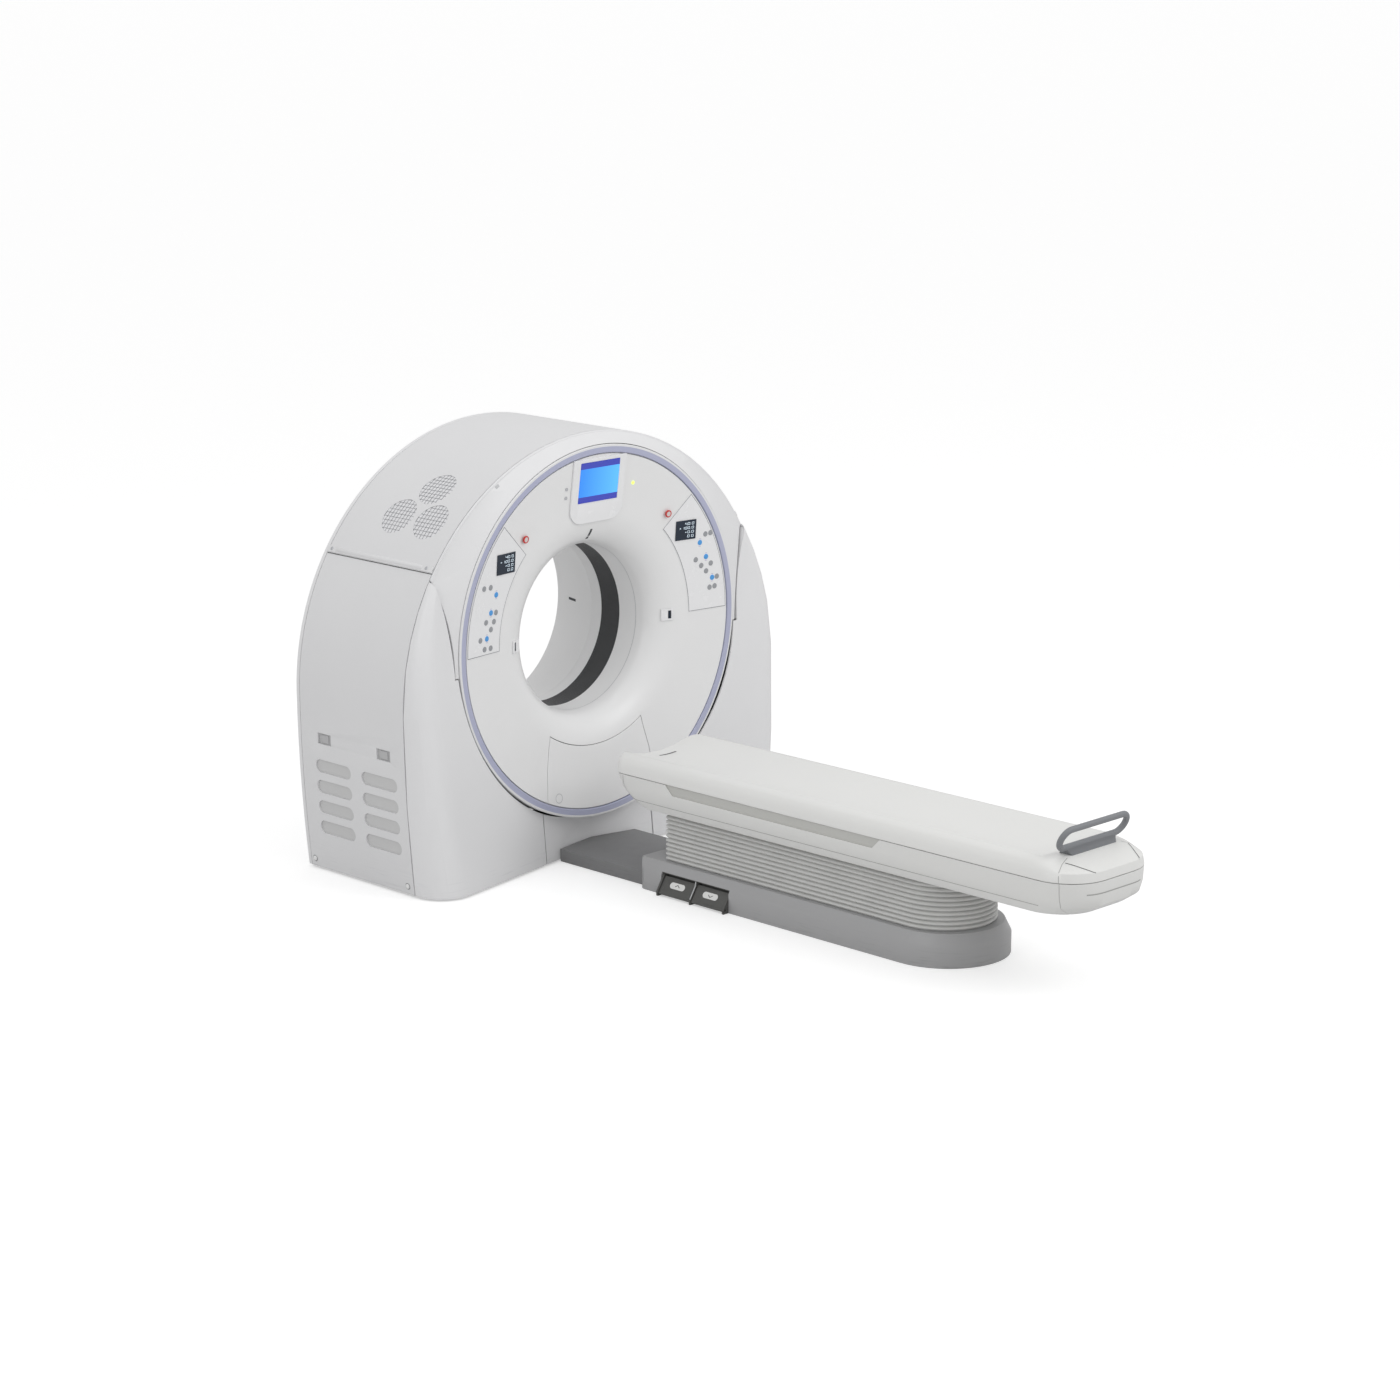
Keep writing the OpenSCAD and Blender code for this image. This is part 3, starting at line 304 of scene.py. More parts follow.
def turned(work, rings, count, seat=Matrix()):
    """Rings about a seat's Z axis, by radius and height, with a smooth skin between them."""
    circle = [math.tau * k / count for k in range(count)]
    loops = [[work.verts.new(seat @ Vector((r * math.cos(a), r * math.sin(a), height))) for a in circle]
             for r, height in rings]
    for lower, upper in zip(loops, loops[1:]):
        for k in range(count):
            n = (k + 1) % count
            work.faces.new((lower[k], lower[n], upper[n], upper[k])).smooth = True
    return loops


white_shell = moulded("white_shell", srgb(232, 232, 233), srgb(222, 222, 224), scuff=0.12)
side_shell = moulded("side_shell", srgb(226, 226, 227), srgb(215, 215, 217), (0.38, 0.55), 0.0022, 0.12,
                     0.16)
for name in ("top_cover", "side_cover_left", "side_cover_right"):
    dressed(name, side_shell, 0.0025)
for name in ("front_bezel", "skirt_left", "skirt_right", "skirt_centre", "rear_cover", "drum_rim"):
    dressed(name, white_shell, 0.002)

CHEEK_X = 2.038
CHEEK_Z = 0.95
CHEEK_RADIUS = 1.1625
SKIRT_RADIUS = 1.158
BEZEL_RADIUS = 1.176
RETURN_FOOT = 0.957
RETURN_STEP = 0.0175
RETURN_STEPS = 26
RETURN_LAP = 0.002
RETURN_DEPTH = 0.016


def skin_of(node):
    mesh = shell_of(node).data
    return BVHTree.FromPolygons([v.co for v in mesh.vertices], [p.vertices for p in mesh.polygons])


def front_point(skin, x, z):
    """The point of a cover's skin that is seen from the front at x and z, if there is one."""
    return skin.ray_cast(Vector((x, -1.0, z)), Vector((0.0, 1.0, 0.0)))[0]


work = bmesh.new()
bezel = skin_of("front_bezel")
for way, side in ((-1, "left"), (1, "right")):
    skirt = skin_of("skirt_" + side)
    rails = []
    for k in range(RETURN_STEPS):
        z = RETURN_FOOT + RETURN_STEP * k
        inner, edge, outer = (way * (CHEEK_X - math.sqrt(r * r - (z - CHEEK_Z) ** 2))
                              for r in (SKIRT_RADIUS, CHEEK_RADIUS, BEZEL_RADIUS))
        near = front_point(skirt, inner, z)
        far = front_point(bezel, outer, z)
        if near and far:
            depths = (near.y + RETURN_LAP, max(near.y, far.y) + RETURN_DEPTH)
            rails.append([work.verts.new((edge, y, z)) for y in depths])
    for (a, b), (c, d) in zip(rails, rails[1:]):
        work.faces.new((a, b, d, c)).smooth = True
placed("cheek_returns", work, "gantry", white_shell)

ARCH_RADIUS = 1.12
ARCH_HEIGHT = 0.815
LIP_HEIGHT = 1.437
BAR_FRONT = -0.172
BAR_REAR = 0.418
BAR_SINK = 0.002
BAR_END = ((0.004, 0.0), (0.010, 0.003), (0.014, 0.010))
lean = math.asin((LIP_HEIGHT - ARCH_HEIGHT) / ARCH_RADIUS)
bar_x = (ARCH_RADIUS - BAR_SINK) * math.cos(lean)
bar_z = ARCH_HEIGHT + (ARCH_RADIUS - BAR_SINK) * math.sin(lean)
rings = [(r, BAR_FRONT + step) for r, step in BAR_END]
rings += [(r, BAR_REAR - step) for r, step in reversed(BAR_END)]
work = bmesh.new()
for way in (-1, 1):
    seat = Matrix.Translation((way * bar_x, 0.0, bar_z)) @ Matrix.Rotation(-math.pi / 2, 4, "X")
    loops = turned(work, rings, 24, seat)
    work.faces.new(loops[0])
    work.faces.new(loops[-1])
bmesh.ops.recalc_face_normals(work, faces=work.faces)
placed("lip_bars", work, "gantry", side_shell)

# Side vents and latches.
# Pale grey filter pads of pleated cloth lie behind the oval vents. The latch pockets above them have a
# grey insert with a turn button, clipped in from behind.
filter_cloth = moulded("filter_cloth", srgb(207, 207, 207), srgb(193, 193, 193), (0.7, 0.9), 0.004, 0.5)
latch_grey = moulded("latch_grey", srgb(188, 188, 189), srgb(172, 172, 173), (0.4, 0.55))
dressed("vent_filters", filter_cloth, 0.001)
dressed("cover_latches", latch_grey, 0.0015)

# Top grilles.
# Round exhaust openings on the shoulders with a square wire mesh in front of a pale filter disc. The
# mesh is welded wire, bent to the arch and held in the edge of the opening, just below its face.
grille_disc = moulded("grille_disc", srgb(232, 232, 234), srgb(222, 222, 224), (0.6, 0.8), 0.004, 0.4)
grille_wire = metal_finish("grille_wire", srgb(160, 161, 164), srgb(146, 147, 150), 0.2, (0.35, 0.5),
                           40.0, 0.1)
dressed("top_grilles", grille_disc, 0.0)

mesh_tree = bpy.data.node_groups.new("welded_mesh", "GeometryNodeTree")
mesh_tree.interface.new_socket("Geometry", in_out="OUTPUT", socket_type="NodeSocketGeometry")
for name in ("Radius", "Wires", "Wire radius", "Arch radius"):
    mesh_tree.interface.new_socket(name, in_out="INPUT", socket_type="NodeSocketFloat")
mesh_tree.interface.new_socket("Finish", in_out="INPUT", socket_type="NodeSocketMaterial")
given = add(mesh_tree, "NodeGroupInput").outputs
across = maths(mesh_tree, "MULTIPLY", given["Radius"], 2.0)
count = add(mesh_tree, "FunctionNodeFloatToInt", {0: given["Wires"]}).outputs[0]
grid = add(mesh_tree, "GeometryNodeMeshGrid", {"Size X": across, "Size Y": across, "Vertices X": count,
                                               "Vertices Y": count})
spot = add(mesh_tree, "GeometryNodeInputPosition").outputs[0]
reach = add(mesh_tree, "ShaderNodeVectorMath", {0: spot}, operation="LENGTH")
outside = add(mesh_tree, "FunctionNodeCompare", {0: reach.outputs["Value"], 1: given["Radius"]},
              operation="GREATER_THAN")
round_grid = add(mesh_tree, "GeometryNodeDeleteGeometry", {"Geometry": grid.outputs["Mesh"],
                                                           "Selection": outside.outputs[0]}, domain="POINT")
wires = add(mesh_tree, "GeometryNodeMeshToCurve", {"Mesh": round_grid.outputs[0]})
section = add(mesh_tree, "GeometryNodeCurvePrimitiveCircle", {"Resolution": 6,
                                                              "Radius": given["Wire radius"]})
tubes = add(mesh_tree, "GeometryNodeCurveToMesh", {"Curve": wires.outputs[0],
                                                   "Profile Curve": section.outputs[0]})
aside = add(mesh_tree, "ShaderNodeSeparateXYZ", {0: spot}).outputs["X"]
square = maths(mesh_tree, "MULTIPLY", aside, aside)
drop = maths(mesh_tree, "MULTIPLY", maths(mesh_tree, "DIVIDE", square, given["Arch radius"]), -0.5)
sink = add(mesh_tree, "ShaderNodeCombineXYZ", {"Z": drop})
bent = add(mesh_tree, "GeometryNodeSetPosition", {"Geometry": tubes.outputs[0], "Offset": sink.outputs[0]})
whole = add(mesh_tree, "GeometryNodeRealizeInstances", {0: bent.outputs[0]})
dyed = add(mesh_tree, "GeometryNodeSetMaterial", {"Geometry": whole.outputs[0],
                                                  "Material": given["Finish"]})
add(mesh_tree, "NodeGroupOutput", {0: dyed.outputs[0]})

placing = bpy.data.node_groups.new("placed_copies", "GeometryNodeTree")
placing.interface.new_socket("Geometry", in_out="OUTPUT", socket_type="NodeSocketGeometry")
for name, kind in (("Points", "Geometry"), ("Piece", "Object"), ("Size", "Float"), ("Finish", "Material")):
    placing.interface.new_socket(name, in_out="INPUT", socket_type="NodeSocket" + kind)
given = add(placing, "NodeGroupInput").outputs
turn = add(placing, "GeometryNodeInputNamedAttribute", {"Name": "turn"}, data_type="FLOAT_VECTOR")
facing = add(placing, "FunctionNodeEulerToRotation", {0: turn.outputs["Attribute"]})
piece = add(placing, "GeometryNodeObjectInfo", {"Object": given["Piece"]})
copies = add(placing, "GeometryNodeInstanceOnPoints", {"Points": given["Points"],
                                                       "Instance": piece.outputs["Geometry"],
                                                       "Rotation": facing.outputs[0],
                                                       "Scale": given["Size"]})
whole = add(placing, "GeometryNodeRealizeInstances", {0: copies.outputs[0]})
dyed = add(placing, "GeometryNodeSetMaterial", {"Geometry": whole.outputs[0], "Material": given["Finish"]})
add(placing, "NodeGroupOutput", {0: dyed.outputs[0]})


def grown(name, tree, start, **inputs):
    """The plain mesh that a geometry tree grows from a start mesh with these inputs."""
    holder = bpy.data.objects.new(name, start)
    scene.collection.objects.link(holder)
    maker = holder.modifiers.new("maker", "NODES")
    maker.node_group = tree
    sockets = {s.name: s.identifier for s in tree.interface.items_tree if s.in_out == "INPUT"}
    for key, value in inputs.items():
        maker[sockets[key.replace("_", " ").capitalize()]] = value
    ready = holder.evaluated_get(bpy.context.evaluated_depsgraph_get())
    mesh = bpy.data.meshes.new_from_object(ready)
    bpy.data.objects.remove(holder)
    mesh.name = name
    return mesh


def copies_on(name, seats, piece, finish, body, size=1.0):
    """Copies of one small piece, each standing on its seat with its Z axis outwards."""
    points = bpy.data.meshes.new(name + "_points")
    points.from_pydata([seat.translation for seat in seats], [], [])
    turns = points.attributes.new("turn", "FLOAT_VECTOR", "POINT")
    for k, seat in enumerate(seats):
        turns.data[k].vector = seat.to_euler()
    scene.collection.objects.link(piece)
    mesh = grown(name, placing, points, piece=piece, size=size, finish=finish)
    scene.collection.objects.unlink(piece)
    made = bpy.data.objects.new(name, mesh)
    scene.collection.objects.link(made)
    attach(made, body)
    return made


MESH_SINK = 0.0018
GRILLE_SEATS = ((126.0, 0.045), (135.0, 0.150), (135.0, -0.060))
wire_mesh = grown("wire_mesh", mesh_tree, bpy.data.meshes.new("wire_mesh"), radius=0.111, wires=12.0,
                  wire_radius=0.0008, arch_radius=ARCH_RADIUS - MESH_SINK, finish=grille_wire)
seats = []
for angle, y in GRILLE_SEATS:
    for turn in (angle, 180.0 - angle):
        seats.append(Matrix.Translation((0.0, y, ARCH_HEIGHT))
                     @ Matrix.Rotation(math.radians(90.0 - turn), 4, "Y")
                     @ Matrix.Translation((0.0, 0.0, ARCH_RADIUS - MESH_SINK)))
wire_piece = bpy.data.objects.new("wire_mesh", wire_mesh)
copies_on("grille_wires", seats, wire_piece, grille_wire, "gantry")

# Cover screws.
# Zinc-plated button heads with a hexagon socket hold the lip of the top cover. The screws at the feet
# of the side covers are under pale domed plugs, each with a flat dark grey ring round it: painted shade of
# the gap.
HEAD_RINGS = ((0.0090, 0.0), (0.0090, 0.0008), (0.0080, 0.0020), (0.0060, 0.0029), (0.0046, 0.0031))
HEAD_SIDES = 24
SOCKET_SIDES = 6
SOCKET_RADIUS = 0.0038
SOCKET_FLOOR = 0.0012
PLUG_RINGS = ((0.0118, 0.0), (0.0118, 0.0018), (0.0106, 0.0032), (0.0075, 0.0042), (0.0035, 0.0046))
GAP_SHADE_RINGS = ((0.0150, 0.0004), (0.0116, 0.0004))
screw_zinc = metal_finish("screw_zinc", srgb(206, 207, 210), srgb(184, 186, 190), 0.4, (0.25, 0.42),
                          220.0, 0.1)
plug_pale = moulded("plug_pale", srgb(240, 240, 240), srgb(232, 232, 232), (0.22, 0.36))
painted_gap_shade = moulded("painted_gap_shade", srgb(132, 133, 135), srgb(120, 121, 123), (0.6, 0.8))

work = bmesh.new()
brim = turned(work, HEAD_RINGS, HEAD_SIDES)[-1]
mouth, bottom = turned(work, [(SOCKET_RADIUS, z) for z in (HEAD_RINGS[-1][1], SOCKET_FLOOR)], SOCKET_SIDES)
share = HEAD_SIDES // SOCKET_SIDES
for k in range(HEAD_SIDES):
    near, far = (mouth[((step + share // 2) // share) % SOCKET_SIDES] for step in (k, k + 1))
    corners = [brim[k], brim[(k + 1) % HEAD_SIDES], far, near]
    work.faces.new(corners if near is not far else corners[:3])
work.faces.new(bottom)
for face in work.faces:
    face.smooth = len(face.verts) == 4
screw_head = worked("button_head", work, screw_zinc)
work = bmesh.new()
work.faces.new(turned(work, PLUG_RINGS, 32)[-1]).smooth = True
screw_plug = worked("screw_plug", work, plug_pale)
# A flat dark grey ring round each plug, painted shade of the gap; no gap is cut.
work = bmesh.new()
turned(work, GAP_SHADE_RINGS, 32)
plug_gap = worked("plug_gap", work, painted_gap_shade)

FOOT_HALF = 1.072
SCREW_HEIGHT = 0.046
SCREW_PLACES = (-0.194, 0.440)
LIP_PROUD = 0.0066
lip_x = (ARCH_RADIUS + LIP_PROUD) * math.cos(lean)
lip_z = ARCH_HEIGHT + (ARCH_RADIUS + LIP_PROUD) * math.sin(lean)
side_radius = (ARCH_HEIGHT ** 2 + (ARCH_RADIUS - FOOT_HALF) ** 2) / (2 * (ARCH_RADIUS - FOOT_HALF))
side_tilt = math.asin((ARCH_HEIGHT - SCREW_HEIGHT) / side_radius)
foot_x = ARCH_RADIUS - side_radius * (1.0 - math.cos(side_tilt))
seats = []
low_seats = []
for y in SCREW_PLACES:
    for way in (-1, 1):
        seats.append(Matrix.Rotation(way * (math.pi / 2 - lean), 4, "Y"))
        seats[-1].translation = (way * lip_x, y, lip_z)
        low_seats.append(Matrix.Rotation(way * (math.pi / 2 + side_tilt), 4, "Y"))
        low_seats[-1].translation = (way * foot_x, y, SCREW_HEIGHT)
screws = copies_on("cover_screw_heads", seats, screw_head, screw_zinc, "gantry")
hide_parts("cover_screws")
copies_on("foot_screw_heads", low_seats, screw_plug, plug_pale, "gantry")
# The dark rings round the plugs are painted shade of their gaps.
copies_on("foot_screw_gaps", low_seats, plug_gap, painted_gap_shade, "gantry")

# Front dish and accent ring.
# One large white moulding flares into the bore. A lavender ring of satin acrylic with a white edge
# closes the gap to the front covers, and a flap at the foot of the dish lifts out for service.
BORE_HEIGHT = 1.03
BORE_RADIUS = 0.383
WHITE_EDGE = (0.8375, 0.8385)
dish_white = moulded("dish_white", srgb(238, 238, 238), srgb(230, 230, 231), (0.24, 0.38), 0.0015, 0.05)
lavender = moulded("lavender", srgb(182, 185, 209), srgb(171, 174, 198), (0.25, 0.38), 0.0015, 0.04)
tree = lavender.node_tree
shader = tree.nodes["Principled BSDF"]
place = add(tree, "ShaderNodeTexCoord").outputs["Object"]
offset = add(tree, "ShaderNodeVectorMath", {0: place, 1: (0.0, 0.0, BORE_HEIGHT)}, operation="SUBTRACT")
flat = add(tree, "ShaderNodeVectorMath", {0: offset.outputs[0], 1: (1.0, 0.0, 1.0)}, operation="MULTIPLY")
reach = add(tree, "ShaderNodeVectorMath", {0: flat.outputs[0]}, operation="LENGTH")
edge = ranged(tree, reach.outputs["Value"], 0.0, 1.0, *WHITE_EDGE)
inside = shader.inputs["Base Color"].links[0].from_socket
plug(tree, shader, {"Base Color": mixed(tree, edge, inside, srgb(232, 232, 233))})
for name in ("front_dish", "dish_flap"):
    dressed(name, dish_white, 0.0012)
dressed("accent_ring", lavender, 0.004)

INLAY_STEP = 0.012


def inlay(name, lines, width, target, finish, body, lift=0.0004):
    """Thin strips along lines of points, each laid on the nearest skin of a piece."""
    work = bmesh.new()
    work.from_mesh(target.data)
    skin = BVHTree.FromBMesh(work)
    work.clear()
    for line in lines:
        stops = []
        for start, end in zip(line, line[1:]):
            steps = max(1, round((Vector(end) - Vector(start)).length / INLAY_STEP))
            stops += [Vector(start).lerp(Vector(end), k / steps) for k in range(steps)]
        seats = [skin.find_nearest(stop)[:2] for stop in stops + [Vector(line[-1])]]
        rails = []
        for k, (spot, normal) in enumerate(seats):
            along = seats[min(k + 1, len(seats) - 1)][0] - seats[max(k - 1, 0)][0]
            across = along.cross(normal).normalized() * width / 2
            rails.append([work.verts.new(spot + way * across + normal * lift) for way in (1, -1)])
        for (a, b), (c, d) in zip(rails, rails[1:]):
            work.faces.new((a, c, d, b)).smooth = True
    return placed(name, work, body, finish)


def upright_ring(x, y, z, radius, count):
    """Points of a closed circle that stands across the bore."""
    circle = [math.tau * k / count for k in range(count + 1)]
    return [(x + radius * math.cos(a), y, z + radius * math.sin(a)) for a in circle]


FLAP_RING = upright_ring(-0.262, -0.2912, 0.304, 0.021, 24)
BEZEL_TAB = ((-0.580, -0.245, 1.749), (-0.552, -0.245, 1.764))
DISH_SLIT = ((0.0, -0.205, 1.442), (0.0, -0.240, 1.492))
# A pale grey for printed and joint lines, also used as painted shade of the step at the throat.
pale_line_and_shade = moulded("pale_line_and_shade", srgb(196, 197, 199), srgb(184, 185, 188), (0.5, 0.7))
# The slits are not cut: dark strips lie on the skin in their place, painted shade of the openings.
slit_shade_paint = moulded("slit_shade_paint", srgb(60, 62, 66), srgb(48, 50, 54), (0.5, 0.7))
for name, line, width, node, finish, slot in (
    ("flap_ring", FLAP_RING, 0.003, "dish_flap", pale_line_and_shade, "white_shell"),
    ("bezel_tab", BEZEL_TAB, 0.013, "front_bezel", pale_line_and_shade, "grey_plastic"),
    ("dish_slit", DISH_SLIT, 0.013, "front_dish", slit_shade_paint, "black_plastic"),
):
    inlay(name, [line], width, shell_of(node), finish, "gantry")

# Bore lining.
# White liner tubes in front and behind, with the scan window between them: a dark band of woven
# carbon film that the beam passes through. A white funnel closes the rear.
for name in ("bore_liner_front", "bore_liner_rear", "rear_funnel"):
    dressed(name, dish_white, 0.001)
# A pale grey ring round the throat marks the joint of dish and liner, and is also painted shade of the step
# there.
throat_ring = upright_ring(0.0, -0.128, BORE_HEIGHT, BORE_RADIUS, 96)
inlay("throat_seam", [throat_ring], 0.003, shell_of("bore_liner_front"), pale_line_and_shade, "gantry")
carbon_film, tree, shader = new_finish("carbon_film")
spread = add(tree, "ShaderNodeSeparateXYZ", {0: add(tree, "ShaderNodeTexCoord").outputs["Object"]}).outputs
rise = maths(tree, "SUBTRACT", spread["Z"], BORE_HEIGHT)
along = maths(tree, "MULTIPLY", maths(tree, "ARCTAN2", rise, spread["X"]), BORE_RADIUS)
flat = add(tree, "ShaderNodeCombineXYZ", {"X": along, "Y": spread["Y"]}).outputs[0]
warp, weft = (add(tree, "ShaderNodeTexWave", {"Vector": flat, "Scale": 110.0}, bands_direction=way)
              for way in ("X", "Y"))
weave = maths(tree, "MULTIPLY", warp.outputs["Fac"], weft.outputs["Fac"])
plug(tree, shader, {"Base Color": mixed(tree, weave, srgb(44, 45, 47), srgb(72, 73, 75)),
                    "Roughness": ranged(tree, weave, 0.55, 0.4),
                    "Normal": bumped(tree, weave, 0.3, 0.0006)})
dressed("scan_window", carbon_film, 0.0)


def both_sides(line):
    """A line of points on the right, with its mirror on the left."""
    return [[(way * x, y, z) for x, y, z in line] for way in (-1, 1)]


# Two dark strips on the rear funnel are painted shade of its slits, which are not cut.
FUNNEL_SLIT = ((0.424, 0.318, 1.02), (0.4415, 0.383, 1.02))
inlay("funnel_slits", both_sides(FUNNEL_SLIT), 0.012, shell_of("rear_funnel"), slit_shade_paint, "gantry")

# Touch panels.
# Thin white membrane sheets glued on the dish, edged by a fine grey line, with round keys pressed
# out of the film: grey ones and lit blue ones. Small bars beside them show which way a key drives.
CONE_RADIUS = 0.806
CONE_FRONT = -0.296
CONE_SLOPE = 0.033 / 0.236
CONE_TILT = math.atan(CONE_SLOPE)
FILM = 0.002
PRINT_LIFT = 0.0021
membrane = moulded("membrane", srgb(240, 240, 241), srgb(233, 233, 235), (0.2, 0.32), 0.001, 0.04)
key_grey = moulded("key_grey", srgb(160, 162, 166), srgb(142, 144, 148), (0.35, 0.5), 0.001, 0.1)
key_blue = moulded("key_blue", srgb(84, 164, 232), srgb(58, 138, 214), (0.25, 0.4), 0.001, 0.06)
line_grey = moulded("line_grey", srgb(150, 152, 156), srgb(136, 138, 142), (0.5, 0.6))
print_mauve = moulded("print_mauve", srgb(186, 180, 214), srgb(172, 166, 202), (0.4, 0.5))
for name in ("panel_left", "panel_right"):
    dressed(name, membrane, 0.0004)


def dish_seat(x, z, lift=0.0):
    """Seat on the dish at x and z: X right, Y up along the dish, Z out of it."""
    r = math.hypot(x, z - BORE_HEIGHT)
    a = math.atan2(z - BORE_HEIGHT, x)
    y = CONE_FRONT + CONE_SLOPE * (CONE_RADIUS - r)
    leant = Matrix.Rotation(-a, 4, "Y") @ Matrix.Rotation(-CONE_TILT, 4, "Z") @ Matrix.Rotation(a, 4, "Y")
    return (Matrix.Translation((x, y, z)) @ leant @ Matrix.Rotation(math.pi / 2, 4, "X")
            @ Matrix.Translation((0, 0, lift)))


def plates(name, outlines, finish, body):
    """Thin flat prints, each a list of points, in one object."""
    work = bmesh.new()
    for outline in outlines:
        work.faces.new([work.verts.new(p) for p in outline])
    bmesh.ops.recalc_face_normals(work, faces=work.faces)
    return placed(name, work, body, finish)


work = bmesh.new()
KEY_RINGS = ((0.0098, 0.0), (0.0096, 0.0007), (0.0084, 0.0012), (0.0045, 0.0009))
work.faces.new(turned(work, KEY_RINGS, 20)[-1]).smooth = True
key_cap = worked("key_cap", work, key_grey)

KEY_SIZE = 1.3
GREY_KEYS = ((-0.693, 1.327), (-0.650, 1.326), (-0.612, 1.209), (-0.625, 1.170), (-0.677, 1.174),
             (-0.645, 1.138), (-0.715, 1.100), (-0.688, 1.056), (-0.647, 1.055),
             (0.673, 1.386), (0.702, 1.389), (0.623, 1.270), (0.656, 1.239), (0.711, 1.244),
             (0.685, 1.210), (0.748, 1.177), (0.707, 1.130), (0.736, 1.133))
BLUE_KEYS = ((-0.612, 1.288), (-0.645, 1.212), (-0.672, 1.101),
             (0.643, 1.349), (0.682, 1.278), (0.721, 1.175))
for name, spots, finish, slot in (("panel_keys_grey", GREY_KEYS, key_grey, "grey_plastic"),
                                  ("panel_keys_blue", BLUE_KEYS, key_blue, "lamp_lens")):
    seats = [dish_seat(x, z, FILM) for x, z in spots]
    copies_on(name, seats, key_cap, finish, "gantry", KEY_SIZE)

DRIVE_BAR = (0.006, 0.0013)
DRIVE_OFFSET = 0.0175
bars = []
for x, z in BLUE_KEYS:
    seat = dish_seat(x, z, PRINT_LIFT)
    for way in (-1, 1):
        bars.append([seat @ Vector((x * DRIVE_BAR[0], way * DRIVE_OFFSET + y * DRIVE_BAR[1], 0.0))
                     for x, y in SQUARE])
plates("panel_bars", bars, print_mauve, "gantry")

PANEL_IN = 0.588
PANEL_OUT = 0.800
PANEL_TOP = 44.0
LINE = 0.0025
LINE_TURN = 0.22
ARC_STEPS = 22


def panel_patch(way, r0, r1, low, high):
    """Corners of a print on a panel, between two radii and two angles in degrees."""
    corners = []
    for r, angle in ((r0, low), (r1, low), (r1, high), (r0, high)):
        a = math.radians(angle)
        seat = dish_seat(way * r * math.cos(a), BORE_HEIGHT + r * math.sin(a), PRINT_LIFT)
        corners.append(seat.translation)
    return corners


edges = []
for way in (-1, 1):
    for r in (PANEL_IN, PANEL_OUT - LINE):
        for k in range(ARC_STEPS):
            low, high = (PANEL_TOP * step / ARC_STEPS for step in (k, k + 1))
            edges.append(panel_patch(way, r, r + LINE, low, high))
    for low in (0.0, PANEL_TOP - LINE_TURN):
        edges.append(panel_patch(way, PANEL_IN, PANEL_OUT, low, low + LINE_TURN))
plates("panel_lines", edges, line_grey, "gantry")

# Position displays and stop buttons.
# Each panel has a small dark display behind flush glass, with four rows of pale figures, and a
# sprung stop button with a red collar and a pale cap next to it on the dish.
display_glass, tree, shader = new_finish("display_glass")
haze = noise(tree, add(tree, "ShaderNodeTexCoord").outputs["Object"], 14.0, 3.0)
plug(tree, shader, {"Base Color": mixed(tree, haze, srgb(12, 24, 40), srgb(24, 42, 62)),
                    "Roughness": ranged(tree, haze, 0.06, 0.14)})


def glow(name, colour, strength):
    """A lit print, with paler dots."""
    made, tree, shader = new_finish(name)
    dots = noise(tree, add(tree, "ShaderNodeTexCoord").outputs["Object"], 300.0, 1.0)
    pale = tuple(min(1.0, 0.75 * c + 0.25) for c in colour[:3]) + (1.0,)
    tone = mixed(tree, dots, colour, pale)
    plug(tree, shader, {"Base Color": tone, "Emission Color": tone, "Emission Strength": strength,
                        "Roughness": 0.3})
    return made


figure_glow = glow("figure_glow", srgb(214, 232, 244), 0.8)
for name in ("mini_display_left", "mini_display_right"):
    dressed(name, display_glass, 0.0015)
STROKES = {"a": (0.1, 0.9, 0.9, 1.0), "g": (0.1, 0.45, 0.9, 0.55), "d": (0.1, 0.0, 0.9, 0.1),
           "f": (0.0, 0.52, 0.14, 0.96), "b": (0.86, 0.52, 1.0, 0.96),
           "e": (0.0, 0.04, 0.14, 0.48), "c": (0.86, 0.04, 1.0, 0.48),
           "p": (0.0, 0.0, 0.2, 0.12), "v": (0.44, 0.25, 0.56, 0.75)}
FIGURES = {"0": "abcdef", "1": "bc", "4": "bcfg", "+": "gv", ".": "p"}
FIGURE_PITCH = 0.0165
FIGURE_WIDTH = 0.0125
POINT_PITCH = 0.007
POINT_WIDTH = 0.006


def figures(rows, seat, width, height):
    """Pale figures of lit bars, right-aligned in rows on a seat."""
    drawn = []
    step = height / len(rows)
    for k, row in enumerate(rows):
        x = width / 2
        base = height / 2 - (k + 1) * step + 0.2 * step
        for sign in reversed(row):
            pitch, wide = (POINT_PITCH, POINT_WIDTH) if sign == "." else (FIGURE_PITCH, FIGURE_WIDTH)
            x -= pitch
            for bar in FIGURES[sign]:
                x0, y0, x1, y1 = STROKES[bar]
                drawn.append([seat @ Vector((x + px * wide, base + py * 0.6 * step, 0.0))
                              for px, py in ((x0, y0), (x1, y0), (x1, y1), (x0, y1))])
    return drawn


DISPLAY_REACH = 0.678
DISPLAY_TURN = math.radians(35)
DISPLAY_FACE = 0.0062
ROWS_WIDTH = 0.098
ROWS_HEIGHT = 0.078
shown = []
for way in (-1, 1):
    seat = dish_seat(way * DISPLAY_REACH * math.cos(DISPLAY_TURN),
                     BORE_HEIGHT + DISPLAY_REACH * math.sin(DISPLAY_TURN), DISPLAY_FACE)
    shown += figures(("40.0", "+100.0", "+0.0", "0.0"), seat, ROWS_WIDTH, ROWS_HEIGHT)
plates("mini_display_figures", shown, figure_glow, "gantry")

